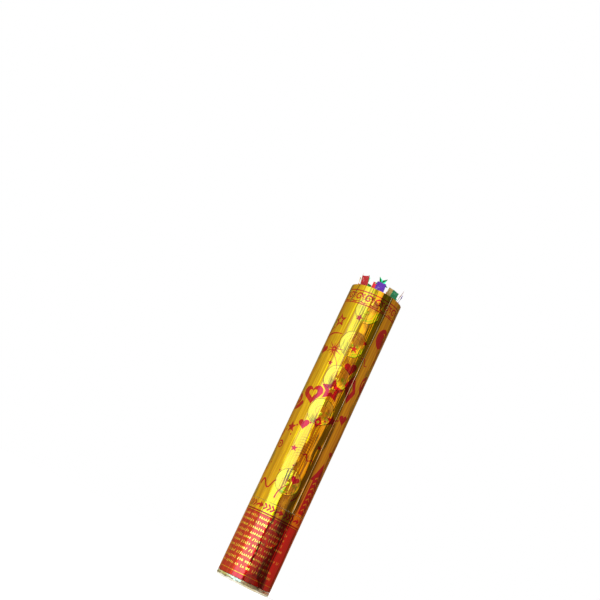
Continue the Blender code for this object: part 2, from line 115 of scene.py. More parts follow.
def blended(factor, first, second):
    """Two colours mixed by a factor, each a plain colour or one that is worked out."""
    colours = [colour if isinstance(colour, Reading) else (*colour, 1.0) for colour in (first, second)]
    inputs = {0: factor, 6: colours[0], 7: colours[1]}
    return Reading(add_node(factor.tree, "ShaderNodeMix", inputs, data_type="RGBA").outputs[2])


def mottle(tree, stretch, detail=2.0, roughness=0.5):
    """Cloudy noise from 0 to 1 with so many grains to the metre on each axis of the object."""
    place = add_node(tree, "ShaderNodeTexCoord").outputs["Object"]
    scaled = add_node(tree, "ShaderNodeVectorMath", {0: place, 1: stretch}, operation="MULTIPLY")
    inputs = {"Vector": scaled.outputs[0], "Scale": 1.0, "Detail": detail, "Roughness": roughness}
    return Reading(add_node(tree, "ShaderNodeTexNoise", inputs).outputs[0])


def object_axes(tree):
    """Where a point of the object is along x, y and z."""
    place = add_node(tree, "ShaderNodeTexCoord").outputs["Object"]
    return [Reading(axis) for axis in add_node(tree, "ShaderNodeSeparateXYZ", {0: place}).outputs]


def shader_group(name, inputs):
    """An empty group of shader nodes, and what its inputs give inside it."""
    group = bpy.data.node_groups.new(name, "ShaderNodeTree")
    for label, value in inputs.items():
        socket = group.interface.new_socket(label, in_out="INPUT", socket_type="NodeSocketFloat")
        socket.default_value = value
    sockets = group.nodes.new("NodeGroupInput").outputs
    return group, {label: Reading(sockets[label]) for label in inputs}


def give_out(group, **values):
    """Name the values that a group gives out, and link them."""
    for label in values:
        group.interface.new_socket(label, in_out="OUTPUT", socket_type="NodeSocketFloat")
    sockets = group.nodes.new("NodeGroupOutput").inputs
    for label, value in values.items():
        feed(sockets[label], value)
    return group


def set_sockets(node, constants):
    """Set a node's own sockets to plain values."""
    for label, value in constants.items():
        node.inputs[label.replace("_", " ")].default_value = value


def placed(tree, group, **inputs):
    """What a group gives to a material that puts it to use."""
    made = add_node(tree, "ShaderNodeGroup", node_tree=group)
    set_sockets(made, inputs)
    return {output.name: Reading(output) for output in made.outputs}


def finish(name, **constants):
    """A material with one Principled shader whose plain values are set on its own sockets."""
    made = bpy.data.materials.new(name)
    made.use_nodes = True
    set_sockets(made.node_tree.nodes["Principled BSDF"], constants)
    return made, made.node_tree


def link_surface(made, colour, roughness, height=None):
    """Link a colour, a roughness and a relief in metres to a material's shader, and give it back."""
    shader = made.node_tree.nodes["Principled BSDF"]
    feed(shader.inputs["Base Color"], colour)
    feed(shader.inputs["Roughness"], roughness)
    if height:
        relief = {"Height": height, "Distance": 1.0, "Strength": 1.0}
        bump = add_node(made.node_tree, "ShaderNodeBump", relief)
        feed(shader.inputs["Normal"], bump.outputs["Normal"])
    return made


def dress(material, *nodes):
    """Give pieces of the frame their finish."""
    for node in nodes:
        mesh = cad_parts[node].data
        mesh.materials.clear()
        mesh.materials.append(material)


def make_board_group():
    """Paper fibres, soft blotches and the helical butt joint of spiral-wound board."""
    group, given = shader_group("board_fibre", {"Wind Pitch": 42 * mm})
    fibres = mottle(group, (900, 900, 2600), 4.0, 0.7)
    blotches = mottle(group, (110, 110, 90), 2.0)
    x, y, z = object_axes(group)
    climb = z / given["Wind Pitch"] - x.maths("ARCTAN2", y) / math.tau
    apart = climb.maths("WRAP", 0.5, -0.5).maths("ABSOLUTE")
    seam = apart.carried(0.004, 0.011, 1.0, 0.0, "SMOOTHSTEP")
    return give_out(
        group,
        Shade=fibres * 0.6 + blotches * 0.4,
        Seam=seam,
        Height=fibres * (0.06 * mm) - seam * (0.12 * mm),
    )


board_group = make_board_group()
straight_joint = 400 * mm


def board(name, dark, pale, wind_pitch=42 * mm):
    """Uncoated board between two tones of its pulp, darker where its strips butt."""
    made, tree = finish(name, Specular_IOR_Level=0.25)
    fibre = placed(tree, board_group, Wind_Pitch=wind_pitch)
    tone = blended(fibre["Shade"].carried(0.3, 0.7), dark, pale)
    tone = blended(fibre["Seam"] * 0.45, tone, (0.10, 0.08, 0.06))
    return link_surface(made, tone, fibre["Shade"].carried(0.2, 0.8, 0.95, 0.82), fibre["Height"])


grey_board = board("grey_board", (0.26, 0.21, 0.155), (0.42, 0.35, 0.27))
pressed_board = board("pressed_board", (0.56, 0.52, 0.45), (0.74, 0.70, 0.62), straight_joint)
dress(grey_board, "base_tube", "barrel_tube", "bottle_collar", "bulkhead", "pusher_card")
dress(pressed_board, "base_cap", "coupler_sleeve")


# Slip washer
# A ring punched from waxed paper. It lies between the ends of the two tubes, so that the barrel
# turns on the base without tearing its board.
def make_waxed_paper():
    """Kraft paper soaked in wax, a little glassy, with darker spots where the wax is thick."""
    made, tree = finish("waxed_paper", Coat_Weight=0.35, Coat_Roughness=0.3)
    fibre = placed(tree, board_group, Wind_Pitch=straight_joint)
    spots = mottle(tree, (320, 320, 320), 3.0)
    tone = blended(fibre["Shade"], (0.50, 0.40, 0.24), (0.76, 0.67, 0.48))
    tone = blended(spots.carried(0.5, 0.62, 0.0, 0.35), tone, (0.42, 0.31, 0.16))
    return link_surface(made, tone, spots.carried(0.3, 0.7, 0.38, 0.6), fibre["Height"])


dress(make_waxed_paper(), "slip_washer")


# Moulded pieces: bottle, rings, carrier and stopper
# The air bottle is blow-moulded in milky plastic. Lock ring, key ring, release carrier and stopper are
# injection-moulded nylon, glued, snapped or screwed in place.
def make_skin_group():
    """The faint orange peel, flow lines and scuffs of moulded plastic."""
    group, given = shader_group("moulded_skin", {"Scuffs": 0.5})
    peel = mottle(group, (1300, 1300, 1300), 2.0)
    flow = mottle(group, (60, 60, 420), 3.0)
    scratches = mottle(group, (2600, 2600, 130), 3.0, 0.7)
    return give_out(
        group,
        Shade=flow,
        Wear=scratches.carried(0.56, 0.7) * given["Scuffs"],
        Height=peel * (0.02 * mm) + flow * (0.05 * mm),
    )


skin_group = make_skin_group()


def moulded(name, dark, pale, roughness, scuffs=0.5, **constants):
    """Moulded plastic or rubber, duller where it is scuffed."""
    made, tree = finish(name, **constants)
    skin = placed(tree, skin_group, Scuffs=scuffs)
    tone = blended(skin["Shade"].carried(0.3, 0.7), dark, pale)
    return link_surface(made, tone, skin["Wear"] * 0.3 + roughness, skin["Height"])


milky_plastic = moulded(
    "milky_plastic", (0.68, 0.74, 0.77), (0.80, 0.85, 0.87), 0.32, 0.4, Transmission_Weight=0.35, IOR=1.5
)
nylon = moulded("nylon", (0.66, 0.62, 0.50), (0.75, 0.71, 0.60), 0.42, 0.5, Subsurface_Weight=0.1)
rubber = moulded("rubber", (0.018, 0.018, 0.018), (0.032, 0.032, 0.03), 0.55, 0.8)
dress(milky_plastic, "air_bottle")
dress(nylon, "lock_ring", "key_ring", "release_carrier", "valve_stopper")
dress(rubber, "fill_valve_seal", "stopper_seal")


# Turned and drawn metal: fill valve and screw
# The fill valve's body, nut and pin are turned brass. Its spring is drawn steel wire, its clip is a
# stamped steel ring, and one zinc-plated screw holds the stopper under the carrier's bridge.
def make_turning_group():
    """Fine rings that a cutting tool leaves, with tarnish in patches."""
    group, given = shader_group("turning_marks", {"Feed": 0.25 * mm})
    x, y, z = object_axes(group)
    travel = (x.squared() + y.squared()).maths("SQRT") + z
    rings = (travel / given["Feed"] * math.tau).maths("SINE")
    return give_out(group, Tarnish=mottle(group, (400, 400, 400), 4.0), Height=rings * (0.004 * mm))


turning_group = make_turning_group()


def bright_metal(name, clean, tarnished, roughness):
    """A metal between its clean and its tarnished colour."""
    made, tree = finish(name, Metallic=1.0)
    marks = placed(tree, turning_group)
    tone = blended(marks["Tarnish"].carried(0.45, 0.7), clean, tarnished)
    rough = marks["Tarnish"].carried(0.3, 0.7, roughness, roughness + 0.15)
    return link_surface(made, tone, rough, marks["Height"])


brass = bright_metal("brass", (0.80, 0.56, 0.22), (0.50, 0.32, 0.12), 0.22)
steel = bright_metal("steel", (0.62, 0.62, 0.62), (0.42, 0.42, 0.43), 0.28)
dress(brass, "fill_valve_body", "fill_valve_nut", "fill_valve_pin")
dress(steel, "fill_valve_spring", "fill_valve_clip", "stopper_screw")


# Pusher felt
# A thick disc of pressed grey wool felt. It seals the bore, and the air drives it and the card under it
# up the barrel with the paper on top.
def make_felt():
    """Matted wool, with paler fibres lying over it."""
    made, tree = finish("wool_felt", Specular_IOR_Level=0.1, Sheen_Weight=0.4, Sheen_Roughness=0.5)
    mat = mottle(tree, (700, 700, 1100), 5.0, 0.75)
    stray = mottle(tree, (2400, 500, 900), 2.0, 0.8)
    tone = blended(mat, (0.20, 0.20, 0.19), (0.52, 0.51, 0.48))
    tone = blended(stray.carried(0.6, 0.7, 0.0, 0.7), tone, (0.66, 0.64, 0.60))
    return link_surface(made, tone, mat.carried(0.0, 1.0, 0.9, 1.0), mat * (0.5 * mm))


dress(make_felt(), "pusher_felt")


# Printed foil labels
# The base and the barrel are each wrapped in a metallised label, embossed all over with round lenses
# and printed in crimson. Each label meets itself in a narrow lap and is glued to the board.
casing_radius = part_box("barrel_wrap")[1][0]
label_thickness = 0.35 * mm
label_inner = casing_radius - label_thickness
joint_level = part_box("base_wrap")[1][2]
lens_columns = 4
lens_hollow = 0.38
lens_rings = 3
lenses_to_a_fan = 5.0


def make_emboss_group():
    """Round lenses in staggered columns, a fan of fine lines in place of every fifth, rays between them,
    and along the tube streaks, hairlines, sharp folds and crinkles. A lens is a hollow cut into a wound
    ring, as in a flat magnifier, so it spreads what it mirrors."""
    inputs = {"Column Turn": 0.0, "Row Level": 0.0, "Lens Radius": 11.6 * mm, "Lens Pitch": 33 * mm}
    group, given = shader_group("embossed_foil", inputs)
    lens_radius, lens_pitch = given["Lens Radius"], given["Lens Pitch"]
    half_pitch = lens_pitch * 0.5
    column_turn = math.tau / lens_columns
    waver_depth = 0.7 * mm
    half_spacing = 1.2 * mm
    ray_width = 1.3 * mm
    x, y, z = object_axes(group)
    turn = x.maths("ARCTAN2", y * -1.0) - given["Column Turn"]
    across = turn.maths("WRAP", column_turn / 2, -column_turn / 2) * casing_radius
    odd = (turn / column_turn).maths("ROUND").maths("FLOORED_MODULO", 2.0)
    level = z - given["Row Level"] - odd * half_pitch
    along = level.maths("WRAP", half_pitch, half_pitch * -1.0)
    square = across.squared() + along.squared()
    waver = mottle(group, (70, 70, 70)).carried(0.3, 0.7, -waver_depth, waver_depth)
    reach = square.maths("SQRT") + waver
    inward = lens_radius - reach
    number = (level / lens_pitch).maths("ROUND")
    fan = number.maths("FLOORED_MODULO", lenses_to_a_fan).maths("COMPARE", 1.0, 0.5)
    lens = inward.carried(0.0, 0.4 * mm, 0.0, 1.0, "SMOOTHSTEP") * fan.rest()

    # The fan lines are painted dark shade only: they go into Rim and not into the relief.
    fan_reach = (across.squared() + (along + half_pitch).squared()).maths("SQRT") + waver
    fan_line = fan_reach.maths("WRAP", half_spacing, -half_spacing).maths("ABSOLUTE")
    fan_line = fan_line.carried(0.10 * mm, 0.40 * mm, 1.0, 0.0) * fan_reach.carried(28 * mm, 24 * mm)
    fan_line = fan_line * across.maths("ABSOLUTE").carried(8 * mm, 4 * mm)
    fan_line = fan_line * (fan * fan_reach.carried(6 * mm, 9 * mm))

    bearing = along.maths("ARCTAN2", across)
    ring_step = lens_radius.squared() * (lens_hollow / 2 / casing_radius / lens_rings)
    wound = bearing / math.tau * ring_step
    ring_height = (square * (lens_hollow / 2 / casing_radius) + wound).maths("WRAP", ring_step, 0.0)
    ring = ring_height / ring_step
    # Painted shade along the ring grooves and the lens rims, given out in Rim.
    groove = ring.carried(0.03, 0.13, 0.9, 0.0) * lens * reach.carried(2.0 * mm, 3.0 * mm)
    rim = inward.maths("ABSOLUTE").carried(0.12 * mm, 0.42 * mm, 1.0, 0.0) * fan.rest()

    # Painted lime sheen: a crescent on one side of each lens, given out as Lime.
    crescent = (bearing + 0.75).maths("COSINE").carried(0.20, 0.60, 0.0, 1.0, "SMOOTHSTEP")
    patch = mottle(group, (210, 210, 210), 2.0).carried(0.46, 0.54, 0.0, 1.0, "SMOOTHSTEP")
    rays = (across.maths("ABSOLUTE") + along).maths("PINGPONG", ray_width)
    ripple = mottle(group, (75, 75, 26), 2.0)
    streak = mottle(group, (190, 190, 5), 3.0, 0.6)
    hairline = mottle(group, (560, 560, 6), 3.0, 0.6)
    fold = mottle(group, (110, 110, 5), 1.0).maths("PINGPONG", 0.06)
    crinkle = mottle(group, (150, 150, 90), 3.0)
    height = ripple * (1.6 * mm) + lens * ring_height + rays * lens.rest() * 0.005
    height = height + streak * (0.20 * mm) + hairline * (0.08 * mm)
    height = height + fold * (1.2 * mm) + crinkle * (0.06 * mm)
    return give_out(
        group,
        Height=height,
        Lens=lens,
        Ring=ring,
        Rim=rim.maths("MAXIMUM", fan_line).maths("MAXIMUM", groove),
        Streak=(streak + hairline) * 0.5,
        Lime=lens * crescent * ring.carried(0.20, 0.45) * patch,
    )


emboss_group = make_emboss_group()
print_lenses = {
    "barrel": {
        "Column_Turn": math.radians(-3),
        "Row_Level": 93.5 * mm,
        "Lens_Radius": 11.6 * mm,
        "Lens_Pitch": 33 * mm,
    },
    "base": {
        "Column_Turn": math.radians(13),
        "Row_Level": 44 * mm,
        "Lens_Radius": 7.6 * mm,
        "Lens_Pitch": 40 * mm,
    },
}


def toned(colour, scale, lift=0.0):
    """A colour made darker, or paler."""
    return tuple(min(1.0, channel * scale + lift) for channel in colour)


def foil_ink(name, part, deep, bright, lens_sheen, lime_sheen, metallic, roughness, varnish):
    """Embossed metallised foil, bare or under a see-through ink, between two tones of its colour. The lenses
    are painted paler as their sheen, with patches of painted lime sheen where they split the light, and
    painted dark shade along the lens rims, the fan lines and the ring grooves."""
    made, tree = finish(
        name,
        Metallic=metallic,
        Specular_Tint=(0.75, 0.55, 0.25, 1.0),
        Coat_Weight=varnish,
        Coat_Roughness=0.04,
        Coat_IOR=3.0,
    )
    foil = placed(tree, emboss_group, **print_lenses[part])
    tone = blended(foil["Streak"].carried(0.42, 0.58), deep, bright)
    # Painted sheen: the lenses are blended toward a paler tone.
    tone = blended(foil["Lens"] * 0.35, tone, lens_sheen)
    # Painted sheen: lime patches in the lenses where they split the light.
    tone = blended(foil["Lime"] * 0.85, tone, lime_sheen)
    # Painted shade: the lens rims, fan lines and ring grooves are darkened.
    tone = blended(foil["Rim"] * 0.75, tone, toned(deep, 0.35))
    soft = foil["Lens"] * foil["Ring"].carried(0.0, 1.0, 0.03, 0.12)
    rough = soft + foil["Streak"].carried(0.3, 0.7, roughness, roughness + 0.03)
    return link_surface(made, tone, rough, foil["Height"])


def paper_edge(name):
    """The label's white paper core, bared where it is cut at the lap, given brown tones that mottle darker
    and paler in long patches.
    """
    made, tree = finish(name, Specular_IOR_Level=0.3)
    edge_mottle = mottle(tree, (40, 40, 22), 3.0).carried(0.42, 0.60)
    tone = blended(edge_mottle, (0.60, 0.50, 0.28), (0.26, 0.15, 0.05))
    return link_surface(made, tone, edge_mottle.carried(0.0, 1.0, 0.5, 0.7))


def shaded_crease(name):
    """A sharp crease in the foil, dull, and painted dark brown as the shade in it."""
    made, tree = finish(name, Metallic=0.3, Specular_IOR_Level=0.2)
    shade_mottle = placed(tree, turning_group)["Tarnish"]
    # Painted shade: the crease is mottled between two dark browns.
    tone = blended(shade_mottle, (0.050, 0.016, 0.002), (0.11, 0.040, 0.004))
    return link_surface(made, tone, shade_mottle.carried(0.3, 0.7, 0.4, 0.6))


# Of each ink its deep and bright tones, its lenses' tone, painted paler as their sheen, and their painted
# lime sheen. The inks are bare gold, brushed pale gold, crimson, the panel's red and the dark line.
ink_tones = {
    "gold": ((0.56, 0.245, 0.000), (0.76, 0.425, 0.001), (0.84, 0.53, 0.05), (0.26, 0.42, 0.0)),
    "pale": ((0.76, 0.48, 0.060), (0.86, 0.62, 0.120), (0.84, 0.60, 0.10), (0.40, 0.50, 0.0)),
    "crimson": ((0.38, 0.000, 0.012), (0.51, 0.001, 0.020), (0.56, 0.003, 0.028), (0.36, 0.02, 0.0)),
    "panel": ((0.42, 0.002, 0.003), (0.60, 0.006, 0.006), (0.66, 0.012, 0.01), (0.60, 0.05, 0.01)),
    "line": ((0.30, 0.000, 0.006), (0.40, 0.001, 0.010), (0.40, 0.001, 0.01), (0.26, 0.0, 0.0)),
}
# How metallic, how rough and how strongly varnished each is.
ink_shine = {
    "gold": (1.0, 0.025, 0.13),
    "pale": (1.0, 0.10, 0.10),
    "crimson": (0.95, 0.06, 0.12),
    "panel": (1.0, 0.045, 0.19),
    "line": (0.95, 0.10, 0.12),
}


def foil_inks(part):
    """The inks of one label, and its bared paper and its crease painted dark as shade."""
    inks = {}
    for ink, tones in ink_tones.items():
        inks[ink] = foil_ink(f"{part}_{ink}", part, *tones, *ink_shine[ink])
    inks["edge"] = paper_edge(f"{part}_edge")
    inks["crease"] = shaded_crease(f"{part}_crease")
    return inks


def arc_length(degrees):
    """How far round the casing an angle is, in millimetres. 0 is the front, and + is to its right."""
    return math.radians(degrees) * casing_radius / mm


def off(s, z, reach, bearing):
    """The point of the sheet that lies a reach off another, in the direction of a bearing."""
    return (s + reach * math.cos(bearing), z + reach * math.sin(bearing))


def circle(s, z, radius, tall=None, sides=20):
    """A printed disc or oval."""
    tall = tall or radius
    turns = [math.tau * side / sides for side in range(sides)]
    return [(s + radius * math.cos(turn), z + tall * math.sin(turn)) for turn in turns]


def star(s, z, reach, turn=0.0, waist=0.42, points=5):
    """A printed star."""
    corners = []
    for corner in range(2 * points):
        length = reach if corner % 2 == 0 else reach * waist
        corners.append(off(s, z, length, math.radians(90 + turn) + math.pi * corner / points))
    return corners


def diamond(s, z, wide, tall, lean=0.0, lift=0.0):
    """A printed diamond, upright or leaning."""
    return [(s - wide, z + lift), (s + lean, z - tall), (s + wide, z - lift), (s - lean, z + tall)]


def heart(s, z, reach, turn=0.0):
    """A printed heart."""
    steps = 22
    corners = []
    for step in range(steps):
        t = math.tau * step / steps
        across = 16 * math.sin(t) ** 3
        up = 13 * math.cos(t) - 5 * math.cos(2 * t) - 2 * math.cos(3 * t) - math.cos(4 * t)
        corner = Vector((-across, up, 0)) * reach / 15
        corner.rotate(Matrix.Rotation(math.radians(turn), 3, "Z"))
        corners.append((s + corner.x, z + corner.y))
    return corners


def stroke(points, width, end_width=None, cap_steps=4):
    """A brush stroke along a line of points, even or tapering, with round ends."""
    end_width = width if end_width is None else end_width
    line = [Vector(point) for point in points]
    right = []
    left = []
    for index, point in enumerate(line):
        ahead = line[min(index + 1, len(line) - 1)] - line[max(index - 1, 0)]
        side = Vector((-ahead.y, ahead.x)).normalized()
        half = (width + (end_width - width) * index / (len(line) - 1)) / 2
        right.append(point - side * half)
        left.append(point + side * half)
    caps = []
    for tip, start in ((line[-1], right[-1]), (line[0], left[0])):
        arm = start - tip
        turns = [math.pi * step / cap_steps for step in range(1, cap_steps)]
        caps.append([tip + Matrix.Rotation(turn, 2) @ arm for turn in turns])
    return [tuple(point) for point in right + caps[0] + left[::-1] + caps[1]]


def spiral(s, z, inner, outer, turns, start=0.0, steps_per_turn=18):
    """Points of a flat spiral that winds outward. Negative turns wind the other way."""
    steps = int(abs(turns) * steps_per_turn)
    points = []
    for step in range(steps + 1):
        reach = inner + (outer - inner) * step / steps
        points.append(off(s, z, reach, math.radians(start) + math.tau * turns * step / steps))
    return points


def wave(s, z, length, height, waves, tilt=0.0):
    """Points of a wavy line."""
    steps_per_wave = 10
    steps = int(waves * steps_per_wave)
    lean = math.radians(tilt)
    points = []
    for step in range(steps + 1):
        along = length * (step / steps - 0.5)
        across = height / 2 * math.sin(math.tau * waves * step / steps)
        points.append((
            s + along * math.cos(lean) - across * math.sin(lean),
            z + along * math.sin(lean) + across * math.cos(lean),
        ))
    return points


def bend(start, end, rise, steps=10):
    """Points of a line that bows to its left by a rise."""
    start, end = Vector(start), Vector(end)
    side = Vector((start.y - end.y, end.x - start.x)).normalized()
    shares = [step / steps for step in range(steps + 1)]
    return [tuple(start.lerp(end, share) + side * rise * math.sin(math.pi * share)) for share in shares]


def burst(s, z, inner, outer, rays, width):
    """Tapering rays about a point, every other one short."""
    shapes = []
    for ray in range(rays):
        bearing = math.tau * (ray + 0.3) / rays
        tip = off(s, z, outer * (1.0 if ray % 2 == 0 else 0.66), bearing)
        shapes.append(stroke([off(s, z, inner, bearing), tip], width, width * 0.3, 2))
    return shapes


def inked(ink, *outlines):
    """Outlines with the ink that they are printed in."""
    return [(ink, outline) for outline in outlines]


def with_bare(outline, bare):
    """A crimson ornament with a patch of it left bare gold."""
    return inked("crimson", outline) + inked("gold", bare)


lap_width = 0.26 * mm
lap_rise = 0.16 * mm
lap_fade = 0.006
wrinkle_depth = 0.09 * mm
ripple_width, ripple_length = 0.011, 0.06
dent_width, dent_length = 0.02, 0.017
calm_edge = 0.004
crease_half = 0.5


def foil_stands(turn, level, label):
    """How far a label stands off its round there: soft dents, long ripples, the lap at its seam and its
    creases."""
    low, high, seam, creases = label
    x = casing_radius * math.sin(turn)
    y = -casing_radius * math.cos(turn)
    ripple = noise.noise(Vector((x / ripple_width, y / ripple_width, level / ripple_length)))
    dent = noise.noise(Vector((x / dent_width, y / dent_width, level / dent_length + 7)))
    calm = min(1.0, (level - low) / calm_edge, (high - level) / calm_edge)
    stands = -wrinkle_depth + calm * wrinkle_depth * (0.75 * ripple + 0.7 * dent)
    past_seam = (turn - seam) % math.tau * casing_radius
    back_at_seam = math.pi * casing_radius * 1.999
    if past_seam > back_at_seam:
        past_seam = 0.0
    stands += lap_rise * min(1.0, past_seam / lap_width) * math.exp(-past_seam / lap_fade)
    for start, end, depth in creases:
        place = Vector((turn * casing_radius / mm, level / mm))
        run = Vector(end) - Vector(start)
        share = min(1.0, max(0.0, (place - Vector(start)).dot(run) / run.length_squared))
        apart = (place - Vector(start) - run * share).length
        stands -= depth * mm * max(0.0, 1.0 - apart / crease_half)
    return stands


def round_tube(turn, reach, level):
    """A point round the tube's axis. A turn of 0 is the front, and + is to its right."""
    return Vector((reach * math.sin(turn), -reach * math.cos(turn), level))


def turn_of(point):
    """How far round the tube a point is."""
    return math.atan2(point.x, -point.y)


def label_point(turn, level, label):
    """A point of the rolled label."""
    return round_tube(turn, casing_radius + foil_stands(turn, level, label), level)


def label_normal(turn, level, label):
    """Which way the rolled label faces there."""
    step = 0.02 * mm
    step_turn = step / casing_radius
    around = label_point(turn + step_turn, level, label) - label_point(turn - step_turn, level, label)
    up = label_point(turn, level + step, label) - label_point(turn, level - step, label)
    return around.cross(up).normalized()


def cut_sheet(label, bands, shapes):
    """Cut a label's flat sheet along its printed shapes. Gives its points in millimetres, and the corners
    and the ink of each piece. The shape that was added last is on top."""
    low, high, seam = label[:3]
    column_steps = 74
    row_height = 2.1
    whole_faces = 4
    tolerance = 1e-6
    start = (seam - math.tau) * casing_radius / mm
    end = seam * casing_radius / mm
    columns = [start + (end - start) * step / column_steps for step in range(column_steps + 1)]
    columns.insert(1, start + lap_width / mm)
    limits = sorted({low / mm, high / mm} | {limit for band in bands for limit in band[:2]})
    rows = []
    for below, above in zip(limits, limits[1:]):
        steps = max(1, round((above - below) / row_height))
        rows += [below + (above - below) * step / steps for step in range(steps)]
    rows.append(limits[-1])
    across, up = len(columns), len(rows)
    points = [Vector((s, z)) for z in rows for s in columns]
    edges = [(j * across + i, j * across + i + 1) for j in range(up) for i in range(across - 1)]
    edges += [(j * across + i, (j + 1) * across + i) for j in range(up - 1) for i in range(across)]
    outline = list(range(across)) + [j * across + across - 1 for j in range(1, up)]
    outline += [(up - 1) * across + i for i in range(across - 2, -1, -1)]
    outline += [j * across for j in range(up - 2, 0, -1)]
    faces = [outline]
    inks = [None]
    for ink, shape in shapes:
        for turns in (0, -1, -2):
            shift = turns * math.tau * casing_radius / mm
            if max(s for s, z in shape) + shift < start or min(s for s, z in shape) + shift > end:
                continue
            corners = [Vector((s + shift, z)) for s, z in shape]
            if sum(a.cross(b) for a, b in zip(corners, corners[1:] + corners[:1])) < 0:
                corners.reverse()
            faces.append(list(range(len(points), len(points) + len(corners))))
            points += corners
            inks.append(ink)
    points, _, faces, _, _, sources = delaunay_2d_cdt(points, edges, faces, whole_faces, tolerance, True)
    pieces = []
    for corners, source in zip(faces, sources):
        if 0 not in source:
            continue
        middle = sum((points[corner] for corner in corners), Vector((0, 0))) / len(corners)
        ink = inks[max(source)]
        if middle.x < start + lap_width / mm:
            ink = "edge"
        elif ink is None:
            ink = next((band[2] for band in bands if band[0] < middle.y < band[1]), "gold")
        pieces.append((corners, ink))
    return points, pieces


def carry_edges(bm, edges, reach, level):
    """Extrude a ring of edges to another radius and level."""
    grown = bmesh.ops.extrude_edge_only(bm, edges=edges)["geom"]
    for vert in [item for item in grown if isinstance(item, bmesh.types.BMVert)]:
        vert.co = round_tube(turn_of(vert.co), reach, level)
    return [item for item in grown if isinstance(item, bmesh.types.BMEdge)]


def add_piece(name, bm, looks, sharp_angle=None):
    """An object made of a mesh and its looks, shaded smooth but for edges sharper than an angle."""
    bmesh.ops.recalc_face_normals(bm, faces=bm.faces)
    mesh = bpy.data.meshes.new(name)
    bm.to_mesh(mesh)
    bm.free()
    mesh.shade_smooth()
    if sharp_angle:
        mesh.set_sharp_from_angle(angle=math.radians(sharp_angle))
    for look in looks:
        mesh.materials.append(look)
    piece = bpy.data.objects.new(name, mesh)
    bpy.context.scene.collection.objects.link(piece)
    return piece


def smooth_label(mesh, label):
    """Shade the printed skin by the roll's own form, the cut edge and the crease flat, and the back round."""
    facing = []
    for vert in mesh.vertices:
        on_skin = math.hypot(vert.co.x, vert.co.y) > casing_radius - 0.3 * mm
        facing.append(label_normal(turn_of(vert.co), vert.co.z, label) if on_skin else None)
    flats = mesh.attributes["flat"].data
    skins = mesh.attributes["skin"].data
    normals = []
    for polygon in mesh.polygons:
        outward = polygon.normal.xy.dot(polygon.center.xy.normalized())
        for loop in polygon.loop_indices:
            corner = mesh.loops[loop].vertex_index
            if flats[polygon.index].value:
                normals.append(polygon.normal.copy())
            elif skins[polygon.index].value and facing[corner]:
                normals.append(facing[corner])
            else:
                side = mesh.vertices[corner].co.xy.normalized() * outward
                normals.append(Vector((side.x, side.y, polygon.normal.z)))
    mesh.normals_split_custom_set(normals)


def printed_label(name, part, label, bands, shapes, back):
    """Roll a printed label. Its cut sheet is rolled until it meets itself at the seam, and its back is
    carried over the top edge and down the tube."""
    low, high = label[:2]
    inks = foil_inks(part)
    points, pieces = cut_sheet(label, bands, shapes)
    bm = bmesh.new()
    flat = bm.faces.layers.int.new("flat")
    skin = bm.faces.layers.int.new("skin")
    rolled = []
    for point in points:
        rolled.append(bm.verts.new(label_point(point.x * mm / casing_radius, point.y * mm, label)))
    for corners, ink in pieces:
        face = bm.faces.new([rolled[corner] for corner in corners])
        face[flat] = int(ink in ("edge", "crease"))
        face[skin] = 1
        face.material_index = list(inks).index(ink)
    bmesh.ops.delete(bm, geom=[vert for vert in bm.verts if not vert.link_faces], context="VERTS")
    bmesh.ops.remove_doubles(bm, verts=bm.verts, dist=0.002 * mm)
    open_edges = [edge for edge in bm.edges if edge.is_boundary]
    top = [edge for edge in open_edges if min(vert.co.z for vert in edge.verts) > high - 0.01 * mm]
    bottom = [edge for edge in open_edges if max(vert.co.z for vert in edge.verts) < low + 0.01 * mm]
    for reach, level in back:
        top = carry_edges(bm, top, reach, level)
    bmesh.ops.bridge_loops(bm, edges=top + bottom)
    piece = add_piece(name, bm, inks.values())
    smooth_label(piece.data, label)
    return piece


# Base label
# The turning base's label: a gold strip of turn marks at the joint, a dark double line, and a red panel
# filled with rows of tiny gold ornaments. It is glued round the base tube.
def base_shapes():
    """What is printed on the base label, in millimetres on the unrolled sheet."""
    shapes = []
    strip_middle = 67.0
    groups = 8
    group_pitch = arc_length(360) / groups
    for group in range(groups):
        s = group * group_pitch - 9.0
        for chevron in range(3):
            tip = s + 3.4 * chevron
            tail = tip - 1.9
            arm = [(tail, strip_middle + 2.2), (tip + 0.2, strip_middle), (tail, strip_middle - 2.2)]
            shapes += inked("crimson", stroke(arm, 1.7))
        shaft = bend((s + 8.9, strip_middle - 1.2), (s + 13.0, strip_middle), 0.7, 6)
        head = [(s + 12.2, strip_middle - 2.9), (s + 16.2, strip_middle), (s + 12.2, strip_middle + 2.9)]
        shapes += inked("crimson", stroke(shaft, 1.7), head)
    rows = 10
    top_row = 57.0
    row_pitch = 4.75
    pitch = 1.95
    gap = 1.5
    chance = random.Random(5)
    for row in range(rows):
        z = top_row - row * row_pitch
        for half in (-180, 0):
            s = arc_length(half + chance.uniform(-84, -62))
            end = arc_length(half + chance.uniform(24, 58))
            while s < end:
                for mark in range(min(chance.randint(2, 8), int((end - s) / pitch) + 1)):
                    marks = (
                        star(s, z, 1.35, 0, 0.48),
                        circle(s, z, 0.58, 1.0, 8),
                        diamond(s, z, 0.6, 1.2),
                        stroke([(s - 0.4, z - 1.0), (s + 0.4, z + 1.0)], 0.66),
                        stroke([(s, z - 1.1), (s, z + 1.1)], 0.62),
                        stroke([(s - 0.6, z - 0.8), (s, z + 0.7), (s + 0.6, z - 0.8)], 0.56),
                    )
                    shapes += inked("pale", marks[chance.randrange(len(marks))])
                    s += pitch
                s += gap
    return shapes


